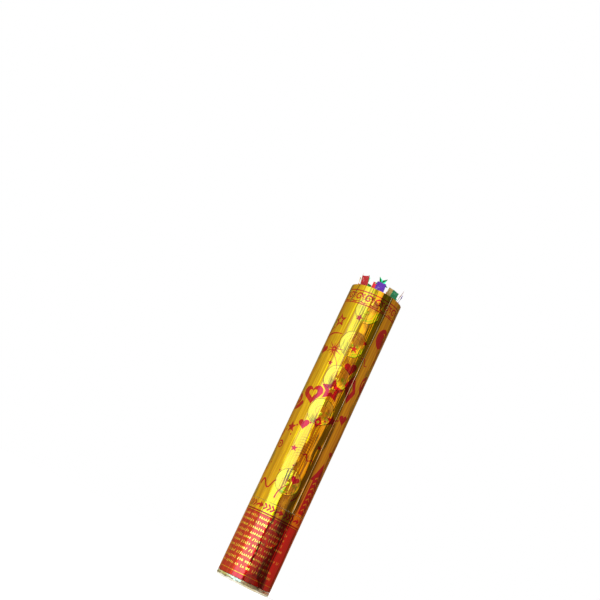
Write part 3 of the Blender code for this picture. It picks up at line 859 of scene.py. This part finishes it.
base_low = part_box("base_wrap")[0][2]
base_bands = [
    (base_low / mm, 8.35, "panel"),
    (8.35, 8.8, "gold"),
    (8.8, 59.9, "panel"),
    (59.9, 60.6, "line"),
    (60.6, 61.2, "gold"),
    (61.2, 62.5, "line"),
    (62.5, joint_level / mm, "gold"),
]
base_label = printed_label(
    "base_label",
    "base",
    (base_low, joint_level, math.radians(-150), ()),
    base_bands,
    base_shapes(),
    [(label_inner, joint_level), (label_inner, base_low)],
)
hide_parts("base_wrap")
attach(base_label, "base")


# Barrel label
# The long gold label, printed in crimson with party ornaments, repeated on the half turn. Its upper edge
# is folded in over the board at the muzzle, and a crease runs down from that fold.
def border_shapes():
    """The band of running scrolls and dots under the muzzle."""
    shapes = []
    repeats = 16
    pitch = arc_length(360) / repeats
    middle = 268.5
    for repeat in range(repeats):
        s = (repeat + 0.35) * pitch
        shapes += inked(
            "crimson",
            stroke(spiral(s + 0.9, middle + 0.3, 0.9, 3.9, -1.15, 60, 16), 1.0, 1.5),
            stroke(bend((s - 4.6, middle - 4.2), (s + 2.8, middle - 3.6), -0.8, 6), 1.2, 0.5),
            circle(s - 3.9, middle + 3.0, 0.9, 0.9, 8),
            stroke([(s - 4.5, middle - 1.6), (s - 3.4, middle + 0.9)], 0.9, 0.5),
        )
    return shapes


def title_shapes(shift):
    """The bold row of big outlined ornaments, and the row of small ones under it."""
    shapes = []
    slope = 0.55
    big_count = 5
    big_pitch = arc_length(180) / big_count
    for place in range(big_count):
        s = (place - 2) * big_pitch - 0.6
        z = 181 + slope * s
        s += shift
        if place == 0:
            shapes += inked("crimson", stroke(spiral(s, z, 1.6, 8.2, 1.4, 200), 3.2, 4.4))
        elif place == 1:
            shapes += with_bare(heart(s, z, 9.3, 14), heart(s + 0.2, z + 0.4, 4.0, 14))
        elif place == 2:
            shapes += with_bare(star(s, z, 10.6, 6, 0.52), star(s, z, 3.7, 6, 0.52))
        elif place == 3:
            shapes += with_bare(diamond(s, z, 7.2, 13.4, 1.6, 1.2), diamond(s, z, 2.5, 5.2, 0.7, 0.5))
        else:
            knot = [(s - 2.0, z - 9.6), (s + 2.0, z - 9.6), (s, z - 5.5)]
            shine = stroke(spiral(s - 0.6, z + 2.2, 3.2, 4.0, 0.3, 120), 1.5, 0.8)
            shapes += inked("crimson", circle(s, z + 1.5, 6.8, 8.6, 24), knot) + inked("gold", shine)
    small_count = 7
    small_pitch = arc_length(180) / small_count
    for place in range(small_count):
        s = (place - 3) * small_pitch
        z = 150.5 + slope * s
        s += shift
        if place % 3 == 0:
            shapes += with_bare(diamond(s, z, 3.6, 5.4), diamond(s, z, 1.2, 1.8))
        elif place % 3 == 1:
            shapes += inked("crimson", star(s, z, 5.6, 10, 0.44))
        else:
            shapes += inked("crimson", heart(s, z, 4.8, 14))
        shapes += inked("crimson", circle(s + small_pitch / 2, z + 3.0, 0.9, 0.9, 10))
    return shapes


def sheet_places(shift):
    """A function that gives the sheet's point at an angle and a level, on the first or the second half."""
    return lambda degrees, level: (shift + arc_length(degrees), level)


def upper_shapes(shift):
    """Stars, hearts, a balloon, sparks and trails above the bold row."""
    at = sheet_places(shift)
    shapes = with_bare(star(*at(-55, 243), 7.2, 12, 0.45), star(*at(-55, 243), 3.4, 12, 0.45))
    shapes += inked(
        "crimson",
        star(*at(-14, 250), 3.6, -8, 0.42),
        star(*at(4, 222), 4.4, 14, 0.36),
        star(*at(21, 231), 2.9, -12, 0.4),
        star(*at(-30, 203), 2.8, 5, 0.42),
        heart(*at(-66, 214), 4.8, -14),
        heart(*at(15, 205), 5.6, 16),
    )
    balloon = circle(*at(57, 243), 7.6, 9.4, 26)
    shapes += with_bare(balloon, stroke(spiral(*at(59, 245), 2.6, 3.4, 0.4, -30), 1.7, 0.8))
    return shapes + inked(
        "crimson",
        stroke(bend(at(57, 234), at(62, 217), 2.4), 0.9, 0.6),
        stroke(bend(at(-88, 222), at(-34, 231), 3.0), 2.8, 0.7),
        stroke(bend(at(-82, 228), at(-62, 236), 1.5), 1.6, 0.6),
        stroke(bend(at(-40, 214), at(-12, 200), 1.6), 0.8, 0.4),
        stroke(wave(*at(78, 223), 12, 4, 1.5, 30), 1.4, 0.8),
        stroke(wave(*at(38, 216), 9, 3.6, 1.0, -25), 1.3, 0.7),
        *burst(*at(-36, 216), 1.2, 8.8, 11, 1.2),
        *burst(*at(82, 236), 1.0, 6.5, 9, 0.8),
    )


def lower_shapes(shift):
    """Squiggles, dots and small ornaments between the small row and the joint, and the up arrow."""
    at = sheet_places(shift)
    shapes = inked(
        "crimson",
        stroke(wave(*at(-46, 86), 17, 7.5, 1.25, 8), 2.2, 0.9),
        stroke(bend(at(-16, 77), at(-4, 90), 1.5), 1.5, 0.6),
        heart(*at(8, 97), 3.8, -10),
        star(*at(-22, 122), 3.6, 10, 0.4),
        star(*at(26, 131), 2.8, -6, 0.42),
        heart(*at(66, 131), 3.2, 12),
        stroke(spiral(*at(-62, 121), 0.9, 4.2, 1.4, 40), 1.1, 1.5),
        stroke(wave(*at(14, 118), 11, 3.6, 1.5, -20), 1.3, 0.7),
        stroke(bend(at(18, 80), at(28, 92), -1.6), 1.2, 0.5),
    )
    dots = ((-72, 98, 0.9), (-64, 104, 0.7), (-8, 108, 0.8), (-30, 100, 0.7))
    dots += ((3, 84, 0.8), (22, 108, 0.7), (-44, 132, 0.8))
    for degrees, level, radius in dots:
        shapes += inked("crimson", circle(*at(degrees, level), radius, radius, 10))
    s, foot = at(57, joint_level / mm + 2.2)
    shaft, head, shoulder, tip = 5.2, 8.6, 104.0, 122.0
    arrow = [(s - shaft, foot), (s + shaft, foot), (s + shaft, shoulder), (s + head, shoulder)]
    arrow += [(s, tip), (s - head, shoulder), (s - shaft, shoulder)]
    shapes += inked("crimson", arrow)
    for mark in range(7):
        z = foot + 3.4 + 4.9 * mark
        shapes += inked("gold", stroke([(s - 2.6, z), (s, z + 2.1), (s + 2.6, z)], 1.0))
    edge = s - shaft - 1.5
    left, right = edge - 0.3, edge + 0.3
    side_line = [(left, foot), (right, foot), (right, shoulder - 2), (left, shoulder - 2)]
    return shapes + inked("crimson", side_line)


barrel_shapes = border_shapes()
for half in range(2):
    half_shift = arc_length(180) * half
    barrel_shapes += title_shapes(half_shift) + upper_shapes(half_shift) + lower_shapes(half_shift)
muzzle_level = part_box("barrel_wrap")[1][2]
barrel_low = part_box("barrel_wrap")[0][2]
fold_round = 0.35 * mm
skin_top = muzzle_level - fold_round
crease_top = (arc_length(-47), skin_top / mm)
crease_foot = (arc_length(-53), 262.0)
# The crease is cut into the relief; its strip takes the crease ink, which is painted dark shade.
for side in (-1, 1):
    beside = [(s + side * crease_half, z) for s, z in (crease_top, crease_foot)]
    barrel_shapes += inked("crease", [crease_foot, crease_top] + beside)
muzzle_inner = casing_radius - 2.25 * mm
barrel_bands = [(262.0, 263.0, "crimson"), (274.0, 275.0, "crimson")]
barrel_label = printed_label(
    "barrel_label",
    "barrel",
    (barrel_low, skin_top, math.radians(32), ((crease_top, crease_foot, 0.25),)),
    barrel_bands,
    barrel_shapes,
    [
        (casing_radius - 0.1 * mm, muzzle_level - 0.1 * mm),
        (casing_radius - fold_round, muzzle_level),
        (muzzle_inner, muzzle_level),
        (muzzle_inner, skin_top),
        (label_inner, skin_top),
        (label_inner, barrel_low),
    ],
)
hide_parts("barrel_wrap")
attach(barrel_label, "barrel")


# Rim foil
# A strip of thin silver foil rolled round the lower edge and folded in under the cap by hand. It is
# crushed into small facets all round.
def make_crush_group():
    """Sharp little folds of crushed thin foil."""
    group, given = shader_group("crushed_foil", {"Folds": 420.0, "Depth": 0.2 * mm})
    place = add_node(group, "ShaderNodeTexCoord").outputs["Object"]
    inputs = {"Vector": place, "Scale": 300.0, "Detail": 2.0}
    wander = Reading(add_node(group, "ShaderNodeTexNoise", inputs).outputs[0])
    inputs = {"Vector": place, "Scale": given["Folds"]}
    cells = Reading(add_node(group, "ShaderNodeTexVoronoi", inputs, feature="F1").outputs["Distance"])
    return give_out(group, Shade=wander, Height=(cells + wander * 0.8) * given["Depth"])


crush_group = make_crush_group()


def make_silver_foil():
    """Thin aluminium foil with a breath of the gold lacquer on it, and patches of painted shade in the folds
    above its foot.
    """
    made, tree = finish("silver_foil", Metallic=1.0)
    crush = placed(tree, crush_group, Folds=300.0, Depth=0.16 * mm)
    lacquer = mottle(tree, (120, 120, 500), 2.0).carried(0.42, 0.58)
    tone = blended(lacquer, (0.80, 0.78, 0.69), (0.62, 0.54, 0.35))
    z = object_axes(tree)[2]
    above_foot = z.carried(0.4 * mm, 1.6 * mm, 0.0, 0.8)
    # Painted shade: dark patches in the folds, only above the foot.
    shadow = mottle(tree, (190, 190, 900), 2.0).carried(0.56, 0.64)
    tone = blended(shadow * above_foot, tone, (0.13, 0.10, 0.06))
    return link_surface(made, tone, crush["Shade"].carried(0.3, 0.7, 0.20, 0.36), crush["Height"])


def rim_outline(top):
    """The strip's section round the lower edge. A point is a radius, a level and how crushed it is."""
    corner = 1.6 * mm
    thickness = 0.35 * mm
    fold = casing_radius - 9.9 * mm
    centre = casing_radius - corner
    outline = [(fold + (centre - fold) * step / 6, 0.0, 0.3) for step in range(6)]
    for step in range(7):
        turn = math.radians(-90 + 15 * step)
        crush = 0.3 + 0.7 * step / 6
        outline.append((centre + corner * math.cos(turn), corner + corner * math.sin(turn), crush))
    outline += [(casing_radius, corner + (top - corner) * step / 4, 1.0) for step in range(1, 5)]
    outline.append((casing_radius - thickness, top, 0.0))
    inner = corner - thickness
    for step in range(4):
        turn = math.radians(-30 * step)
        outline.append((centre + inner * math.cos(turn), corner + inner * math.sin(turn), 0.0))
    outline.append((fold, thickness, 0.0))
    return outline


def make_rim_roll():
    """Turn the strip's section about the axis and crush it, leaving its foot flat."""
    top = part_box("rim_foil")[1][2] - 0.02 * mm
    outline = rim_outline(top)
    sides = 300
    dent_depth, fold_depth = 0.26, 0.14
    trimmed, ragged_height = 0.1 * mm, 0.22 * mm
    fold_grain, dent_grain = Vector((260, 260, 900)), Vector((190, 190, 420))
    fine_grain, ragged_grain = 1100, 500
    bm = bmesh.new()
    rings = []
    for side in range(sides):
        turn = math.tau * side / sides
        ring = []
        for reach, z, crush in outline:
            place = round_tube(turn, reach, z)
            folds = noise.noise(place * fold_grain) + 0.3 * noise.noise(place * fine_grain)
            dent = abs(noise.noise(place * dent_grain + Vector((3, 5, 9))))
            inward = crush * mm * (dent_depth * dent + fold_depth * (folds + 0.8))
            level = z
            if z == top and crush:
                level = z + ragged_height * noise.noise(place * ragged_grain) - trimmed
            ring.append(bm.verts.new(round_tube(turn, reach - inward, level)))
        rings.append(ring)
    for near, far in zip(rings, rings[1:] + rings[:1]):
        for index in range(len(outline)):
            after = (index + 1) % len(outline)
            bm.faces.new((near[index], far[index], far[after], near[after]))
    return add_piece("rim_roll", bm, [make_silver_foil()], 50)


rim_roll = make_rim_roll()
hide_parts("rim_foil")
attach(rim_roll, "base")


# Tissue slips and film
# The load is cut from thin dyed tissue in six colours, with stars punched from mirror film and ribbons
# of curled film. The tissue is soft and faintly crinkled; it lets some light through, but the slips here are
# drawn opaque.
tissue_colours = {
    "purple": (0.115, 0.022, 0.38),
    "green": (0.0, 0.29, 0.11),
    "magenta": (0.78, 0.012, 0.30),
    "red": (0.74, 0.022, 0.028),
    "cream": (0.90, 0.60, 0.17),
    "crimson": (0.34, 0.0, 0.006),
}
film_colours = {
    "red": (0.62, 0.02, 0.03),
    "blue": (0.01, 0.11, 0.55),
    "gold": (0.86, 0.52, 0.08),
    "green": (0.01, 0.42, 0.16),
}


def tissue(name, colour):
    """Dyed tissue with a fine crinkle, its tone a little darker in patches, and painted pale glint streaks
    where it is also less rough.
    """
    made, tree = finish(f"tissue_{name}", Specular_IOR_Level=0.3, Sheen_Weight=0.15)
    crush = placed(tree, crush_group, Folds=260.0, Depth=0.22 * mm)
    glint_streaks = mottle(tree, (500, 500, 260), 4.0, 0.6)
    tone = blended(crush["Shade"].carried(0.3, 0.6), toned(colour, 0.80), colour)
    # Painted highlight: pale glint streaks on the tissue.
    tone = blended(glint_streaks.carried(0.59, 0.67, 0.0, 0.7), tone, toned(colour, 0.65, 0.33))
    return link_surface(made, tone, glint_streaks.carried(0.3, 0.7, 0.72, 0.5), crush["Height"])


def film(name, colour):
    """Mirror film, coloured on both faces."""
    made, tree = finish(f"film_{name}", Metallic=1.0, Coat_Weight=0.5, Coat_Roughness=0.05)
    crush = placed(tree, crush_group, Folds=170.0, Depth=0.10 * mm)
    tone = blended(crush["Shade"], colour, toned(colour, 1.25, 0.02))
    return link_surface(made, tone, crush["Shade"].carried(0.3, 0.7, 0.14, 0.26), crush["Height"])


tissues = {name: tissue(name, colour) for name, colour in tissue_colours.items()}
films = {name: film(name, colour) for name, colour in film_colours.items()}


def add_sheet(bm, place, ink=0, thickness=0.12 * mm, length_steps=5, width_steps=2):
    """One thin sheet. place gives a point and the way it faces from two shares of length and width."""
    sides = []
    for side in (-0.5, 0.5):
        grid = []
        for step in range(length_steps + 1):
            row = []
            for cross in range(width_steps + 1):
                point, faces = place(step / length_steps - 0.5, cross / width_steps - 0.5)
                row.append(bm.verts.new(point + faces * thickness * side))
            grid.append(row)
        sides.append(grid)
    under, over = sides
    for step in range(length_steps):
        for cross in range(width_steps):
            for grid in sides:
                near, far = grid[step], grid[step + 1]
                face = bm.faces.new((near[cross], far[cross], far[cross + 1], near[cross + 1]))
                face.material_index = ink
    border = [(step, 0) for step in range(length_steps)]
    border += [(length_steps, cross) for cross in range(width_steps)]
    border += [(length_steps - step, width_steps) for step in range(length_steps)]
    border += [(0, width_steps - cross) for cross in range(width_steps)]
    for (a, b), (c, d) in zip(border, border[1:] + border[:1]):
        bm.faces.new((under[a][b], under[c][d], over[c][d], over[a][b])).material_index = ink


def lie_of(node):
    """A flat piece's middle and directions, its longest way first and its thin way last, and where its
    corners lie along them."""
    points = np.array([vert.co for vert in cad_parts[node].data.vertices])
    middle = points.mean(axis=0)
    ways = np.linalg.svd(points - middle)[2]
    along = (points - middle) @ ways.T
    middle = middle + ((along.min(axis=0) + along.max(axis=0)) / 2) @ ways
    return Vector(middle), [Vector(way) for way in ways], (points - np.array(middle)) @ ways.T


def make_slip(node, look, number):
    """A slip that stands in the load, bowed as the frame's is, crumpled, and curled at its top."""
    middle, (length_way, width_way, thin_way), along = lie_of(node)
    long, wide, _ = np.ptp(along, axis=0)
    if length_way.z < 0:
        length_way = -length_way
    bulge = along[np.abs(along[:, 0]) < 0.2 * long, 2].mean()
    if bulge < 0:
        thin_way = -thin_way
    bow = abs(bulge) + 0.5 * mm
    outward = 1 if thin_way.xy.dot(middle.xy) > 0 else -1
    crumple_depth, ragged_edge, corner_curl, top_fold = 0.22 * mm, 0.12 * mm, 0.9 * mm, 0.5 * mm

    def place(up, across):
        crumple = noise.noise(Vector((up * 5, across * 2.5, number * 7.3)))
        fold = noise.noise(Vector((up * 2 + across * 3, across, number * 3.1)))
        free = max(0.0, up - 0.1) / 0.4
        corner = free * free * (4 * across * across)
        stands = bow * (math.sin(math.pi * (up + 0.5)) - 0.5) + crumple_depth * crumple
        stands += outward * free * (corner_curl * corner + top_fold * free * fold)
        narrow = 1 - 0.05 * free * free
        edge = ragged_edge * noise.noise(Vector((up * 9, across * 9, number)))
        point = middle + length_way * (long * up + edge) + width_way * (wide * across * narrow + edge)
        return point + thin_way * stands, thin_way

    bm = bmesh.new()
    add_sheet(bm, place, 0, 0.1 * mm, 22, 10)
    return add_piece(f"tissue_{node}", bm, [look], 60)


def make_star(node, look):
    """A star punched from film, its points pressed into ridges and curled."""
    middle, (_, _, thin_way), _ = lie_of(node)
    if thin_way.xy.dot(middle.xy) > 0:
        thin_way = -thin_way
    corners = [vert.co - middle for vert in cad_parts[node].data.vertices]
    flat_corners = [corner - thin_way * corner.dot(thin_way) for corner in corners]
    tip = max(flat_corners, key=lambda corner: corner.length)
    up_way = tip.normalized()
    side_way = thin_way.cross(up_way)
    outer = tip.length
    inner = 0.42 * outer
    turn_in = math.pi / 5
    dome, ridge, curl, thickness = 0.35 * mm, 0.30 * mm, 0.55 * mm, 0.10 * mm
    curl_from, curl_span = 0.6, 0.16
    rings = 7
    spokes = 40
    bm = bmesh.new()
    sides = []
    for side in (0.0, thickness):
        rows = [[bm.verts.new(middle + thin_way * (dome + side))]]
        for ring in range(1, rings + 1):
            row = []
            for spoke in range(spokes):
                bearing = math.tau * spoke / spokes
                from_tip = abs((bearing / math.tau * 5 + 0.5) % 1.0 - 0.5) * 2
                edge = inner * outer * math.sin(turn_in)
                edge /= inner * math.sin(turn_in * (1 - from_tip)) + outer * math.sin(turn_in * from_tip)
                share = ring / rings
                far = edge * share
                uneven = 0.4 + 0.6 * math.sin(spoke / 8 * 2.3)
                lift = dome * (1 - share) + ridge * share * (1 - from_tip) * (1 - 0.6 * share)
                lift += curl * max(0.0, far / outer - curl_from) ** 2 / curl_span * uneven
                point = middle + (up_way * math.cos(bearing) + side_way * math.sin(bearing)) * far
                row.append(bm.verts.new(point + thin_way * (lift + side)))
            rows.append(row)
        sides.append(rows)
    for rows in sides:
        for spoke in range(spokes):
            after = (spoke + 1) % spokes
            bm.faces.new((rows[0][0], rows[1][spoke], rows[1][after]))
            for near, far in zip(rows[1:], rows[2:]):
                bm.faces.new((near[spoke], far[spoke], far[after], near[after]))
    under, over = sides[0][-1], sides[1][-1]
    for spoke in range(spokes):
        after = (spoke + 1) % spokes
        bm.faces.new((under[spoke], under[after], over[after], over[spoke]))
    return add_piece(f"film_{node}", bm, [look], 25)


def make_streamer(node, look):
    """A curled ribbon with even, rounded turns."""
    bm = bmesh.new()
    bm.from_mesh(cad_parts[node].data)
    bmesh.ops.remove_doubles(bm, verts=bm.verts, dist=0.005 * mm)
    bmesh.ops.dissolve_limit(bm, angle_limit=math.radians(1.0), verts=bm.verts, edges=bm.edges)
    crease = bm.edges.layers.float.new("crease_edge")
    for edge in bm.edges:
        if edge.calc_face_angle(0.0) > math.radians(60):
            edge[crease] = 1.0
    piece = add_piece(f"film_{node}", bm, [look], 60)
    rounding = piece.modifiers.new("rounding", "SUBSURF")
    rounding.levels = 3
    rounding.render_levels = 3
    return piece


loose_paper = [node for node in sorted(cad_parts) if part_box(node)[1][2] > muzzle_level]
for number, node in enumerate(loose_paper):
    kind, colour = node.split("_")[:2]
    if kind == "slip":
        piece = make_slip(node, tissues[colour], number)
    elif kind == "star":
        piece = make_star(node, films[colour])
    else:
        piece = make_streamer(node, films[colour])
    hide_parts(node)
    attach(piece, "charge")
    f"tissue_{colour}" if kind == "slip" else f"foil_{colour}"


# Pressed paper load
# Hundreds of tissue slips pushed into the barrel by hand. They lie flat against its wall and tumbled
# over each other on top, round the feet of the ones that stand up.
def make_load_bulk():
    """A column of slips against the bore's wall, with a loose layer on top."""
    low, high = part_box("confetti_bed")
    reach = high[0]
    bottom, top = low[2], high[2]
    slip_length, slip_width = 18.5 * mm, 8.4 * mm
    golden_turn = 2.39996
    core_radius = reach - 1.5 * mm
    loose_depth = 4 * mm
    foot_room, both_rooms = 9 * mm, 18.5 * mm
    top_reach = reach - 0.4 * mm
    chance = random.Random(23)
    ink_count = len(tissues)
    bm = bmesh.new()
    bmesh.ops.create_cone(
        bm,
        cap_ends=True,
        segments=48,
        radius1=core_radius,
        radius2=core_radius,
        depth=top - bottom - loose_depth,
        matrix=Matrix.Translation((0, 0, (top - loose_depth + bottom) / 2)),
    )
    for face in bm.faces:
        face.material_index = chance.randrange(ink_count)
    wall_slips = 300
    for number in range(wall_slips):
        middle_turn = number * golden_turn
        share = (number + 0.5) / wall_slips
        z = bottom + foot_room + (top - bottom - both_rooms) * share
        lean = chance.uniform(-1.3, 1.3)
        layer = reach - 0.25 * mm - 1.1 * mm * chance.random()
        lift = chance.uniform(0, 0.5) * mm
        half_height = abs(math.cos(lean)) * slip_length / 2 + abs(math.sin(lean)) * slip_width / 2
        z = min(max(z, bottom + half_height + 0.2 * mm), top - half_height - 0.6 * mm)

        def on_wall(along, across):
            s = slip_width * across * math.cos(lean) + slip_length * along * math.sin(lean)
            up = slip_length * along * math.cos(lean) - slip_width * across * math.sin(lean)
            turn = middle_turn + s / layer
            curl = lift * (4 * along * along + 2 * across * across - 0.75)
            out = Vector((math.cos(turn), math.sin(turn), 0))
            return out * min(layer + curl, reach - 0.1 * mm) + Vector((0, 0, z + up)), out

        add_sheet(bm, on_wall, chance.randrange(ink_count))
    top_slips = 90
    for number in range(top_slips):
        ring = math.sqrt((number + 0.5) / top_slips) * (reach - 10 * mm)
        turn = number * golden_turn
        tilt = Matrix.Rotation(chance.uniform(-0.5, 0.5), 3, "X")
        tilt = tilt @ Matrix.Rotation(chance.uniform(-0.4, 0.4), 3, "Y")
        spin = Matrix.Rotation(chance.uniform(0, math.tau), 3, "Z") @ tilt
        level = top - 3.2 * mm + chance.uniform(-1.2, 2.2) * mm
        centre = Vector((ring * math.cos(turn), ring * math.sin(turn), level))
        bow = chance.uniform(-1.6, 1.6) * mm

        def on_top(along, across):
            flat = Vector((slip_length * along, slip_width * across, bow * (4 * along * along - 0.5)))
            point = centre + spin @ flat
            bore = Vector((point.x, point.y, 0))
            if bore.length > top_reach:
                inside = bore.normalized() * top_reach
                point = Vector((inside.x, inside.y, point.z + (bore.length - inside.length) * 0.8))
            return point, spin @ Vector((0, 0, 1))

        add_sheet(bm, on_top, chance.randrange(ink_count))
    return add_piece("load_bulk", bm, tissues.values(), 40)


load_bulk = make_load_bulk()
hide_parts("confetti_bed")
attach(load_bulk, "charge")


# Studio
# A white floor, white all round for the eye, and tall cards and a softbox that only bright surfaces
# mirror. The camera stands low in front, rolled so that the tube leans to the right.
def emptied(owner):
    """The cleared shader tree of a material or of the room."""
    owner.use_nodes = True
    owner.node_tree.nodes.clear()
    return owner.node_tree


def seen(tree):
    """1 for a look straight, in a mirror or through glass, and 0 for the light that a thing throws."""
    path = add_node(tree, "ShaderNodeLightPath").outputs
    straight, mirrored = Reading(path["Is Camera Ray"]), Reading(path["Is Glossy Ray"])
    return straight.maths("MAXIMUM", mirrored).maths("MAXIMUM", path["Is Transmission Ray"])


def make_floor():
    """A round white floor whose own light hides its edge but keeps the shadow on it."""
    bm = bmesh.new()
    bmesh.ops.create_circle(bm, cap_ends=True, segments=96, radius=3.0)
    bmesh.ops.translate(bm, verts=bm.verts, vec=(0, 0, -0.1 * mm))
    made = bpy.data.materials.new("floor_white")
    tree = emptied(made)
    paint = blended(mottle(tree, (8, 8, 8), 2.0), (0.50, 0.50, 0.50), (0.54, 0.54, 0.54))
    paper = add_node(tree, "ShaderNodeBsdfDiffuse", {"Color": paint})
    light = add_node(tree, "ShaderNodeEmission", {"Strength": seen(tree) * 0.6})
    both = add_node(tree, "ShaderNodeAddShader", {0: paper.outputs[0], 1: light.outputs[0]})
    add_node(tree, "ShaderNodeOutputMaterial", {"Surface": both.outputs[0]})
    floor = add_piece("floor", bm, [made])


def make_cards():
    """Cards on a ring round the object, their feet drawn in along the floor to the tube. Each stop has its
    bearing at the foot and at the top, in degrees from the camera, and how bright the card is at the
    foot, halfway and at the top. Close stops make a card's edge. Each tint holds from its bearing on, at
    the foot, halfway and at the top. A row is a radius, a level and which of these it takes. On the
    floor that is the darker of foot and halfway, in halfway's tint, and next to the tube the shadow."""
    stops = (
        (-180, -180, 0.40, 0.40, 0.40),
        (-150, -150, 0.78, 0.60, 0.56),
        (-124, -124, 0.76, 0.72, 0.70),
        (-110, -110, 0.92, 0.86, 0.80),
        (-98, -98, 0.84, 0.80, 0.76),
        (-92, -92, 0.90, 0.86, 0.80),
        (-87, -87, 1.20, 1.16, 0.82),
        (-82, -82, 1.15, 1.20, 0.84),
        (-76, -76, 0.96, 0.96, 0.92),
        (-59, -60, 1.05, 1.05, 1.00),
        (-53, -55, 3.40, 2.20, 2.00),
        (-40, -38, 3.90, 2.40, 2.30),
        (-26, -30, 3.90, 2.40, 2.20),
        (-12, -19, 3.80, 2.40, 1.00),
        (-9, -13, 0.20, 0.80, 0.60),
        (-4, -7, 0.04, 0.40, 0.45),
        (1, -3, 0.80, 0.70, 1.70),
        (13, 14, 0.80, 0.42, 1.80),
        (21, 21, 0.60, 0.40, 1.50),
        (27, 25, 0.40, 1.40, 0.20),
        (36, 29, 0.40, 0.95, 0.10),
        (43, 33, 0.20, 0.20, 0.10),
        (50, 40, 0.08, 0.12, 0.08),
        (61, 46, 0.10, 0.20, 0.14),
        (73, 53, 0.08, 0.10, 0.14),
        (85, 60, 0.64, 0.50, 0.48),
        (100, 88, 0.74, 0.62, 0.56),
        (126, 126, 0.67, 0.52, 0.48),
        (134, 134, 0.30, 0.26, 0.24),
        (144, 144, 0.30, 0.26, 0.24),
        (150, 150, 0.50, 0.45, 0.42),
        (165, 165, 0.45, 0.40, 0.38),
        (180, 180, 0.40, 0.40, 0.40),
    )
    tints = (
        (-180, (1.0, 0.85, 0.45), (1.0, 0.85, 0.45), (1.0, 0.85, 0.45)),
        (-115, (1.0, 1.0, 0.4), (1.0, 1.0, 0.4), (1.0, 1.0, 0.4)),
        (-57, (0.46, 0.85, 0.75), (0.70, 1.0, 1.3), (0.66, 1.0, 1.1)),
        (-10, (1.0, 0.75, 0.5), (1.0, 0.48, 0.2), (1.0, 0.85, 0.4)),
        (25, (1.0, 0.75, 0.5), (1.0, 0.68, 0.3), (1.0, 0.85, 0.4)),
        (75, (1.0, 0.40, 0.25), (1.0, 0.64, 0.45), (1.0, 0.64, 0.45)),
    )
    at_foot, halfway, at_top, on_floor, in_shadow = range(5)
    rows = (
        (0.026, 0.001, in_shadow),
        (0.036, 0.001, in_shadow),
        (0.045, 0.001, on_floor),
        (0.70, 0.001, on_floor),
        (0.75, 0.001, at_foot),
        (0.75, 0.12, at_foot),
        (0.75, 0.17, halfway),
        (0.75, 0.34, halfway),
        (0.75, 0.42, at_top),
        (0.75, 1.3, at_top),
    )
    shadow_power, shadow_tint = 0.38, (1.0, 0.90, 0.68)
    leaning_height = 0.5
    upper_green, green_above = 0.05, 0.3
    bm = bmesh.new()
    strength = bm.verts.layers.float_color.new("strength")
    columns = []
    for foot, higher, *powers in stops:
        column = []
        tones = [tint[1:] for tint in tints if tint[0] <= foot][-1]
        powers += [min(powers[at_foot], powers[halfway]), shadow_power]
        tones += (tones[halfway], shadow_tint)
        for radius, level, place in rows:
            bearing = math.radians(foot + (higher - foot) * min(1.0, level / leaning_height))
            vert = bm.verts.new(round_tube(bearing, radius, level))
            red, green, blue = (powers[place] * channel for channel in tones[place])
            vert[strength] = (red, green + (upper_green if level > green_above else 0.0), blue, 1)
            column.append(vert)
        columns.append(column)
    for near, far in zip(columns, columns[1:]):
        for step in range(len(rows) - 1):
            bm.faces.new((near[step], far[step], far[step + 1], near[step + 1]))
    made = bpy.data.materials.new("card_light")
    tree = emptied(made)
    power = add_node(tree, "ShaderNodeAttribute", attribute_name="strength").outputs["Color"]
    light = add_node(tree, "ShaderNodeEmission", {"Color": power, "Strength": 1.0})
    add_node(tree, "ShaderNodeOutputMaterial", {"Surface": light.outputs[0]})
    cards = add_piece("cards", bm, [made])
    cards.visible_camera = False
    cards.visible_diffuse = False
    cards.visible_transmission = False
    cards.visible_shadow = False


def make_light():
    """An even white room, and one large soft lamp high on the left."""
    world = bpy.data.worlds.new("room")
    bpy.context.scene.world = world
    tree = emptied(world)
    level = seen(tree).carried(0.0, 1.0, 0.82, 1.0)
    background = add_node(tree, "ShaderNodeBackground", {"Color": (1, 1, 1, 1), "Strength": level})
    add_node(tree, "ShaderNodeOutputWorld", {"Surface": background.outputs[0]})
    lamp = bpy.data.lights.new("key_lamp", "AREA")
    lamp.shape = "DISK"
    lamp.size = 0.9
    lamp.energy = 22.0
    key = bpy.data.objects.new("key_lamp", lamp)
    key.location = (-0.8, -0.9, 1.1)
    aim = Vector((0, 0, 0.15)) - key.location
    key.rotation_euler = aim.to_track_quat("-Z", "Y").to_euler()
    key.visible_glossy = False
    bpy.context.scene.collection.objects.link(key)


def make_camera():
    """A long lens low in front of the base, looking up along the tube and rolled."""
    stand = (0, -0.9632, 0.0185)
    yaw, pitch, roll = math.radians(-3.64), math.radians(13.34), math.radians(25.863)
    ahead = Vector((math.sin(yaw) * math.cos(pitch), math.cos(yaw) * math.cos(pitch), math.sin(pitch)))
    level_right = Vector((math.cos(yaw), -math.sin(yaw), 0))
    level_up = level_right.cross(ahead)
    right = level_right * math.cos(roll) + level_up * math.sin(roll)
    up = level_up * math.cos(roll) - level_right * math.sin(roll)
    lens = bpy.data.cameras.new("camera")
    lens.lens = 65.71
    lens.sensor_width = 36.0
    camera = bpy.data.objects.new("camera", lens)
    turned = Matrix((right, up, -ahead)).transposed()
    camera.matrix_world = Matrix.Translation(stand) @ turned.to_4x4()
    bpy.context.scene.collection.objects.link(camera)
    bpy.context.scene.camera = camera


make_floor()
make_cards()
make_light()
make_camera()
bpy.context.scene.view_settings.view_transform = "Standard"
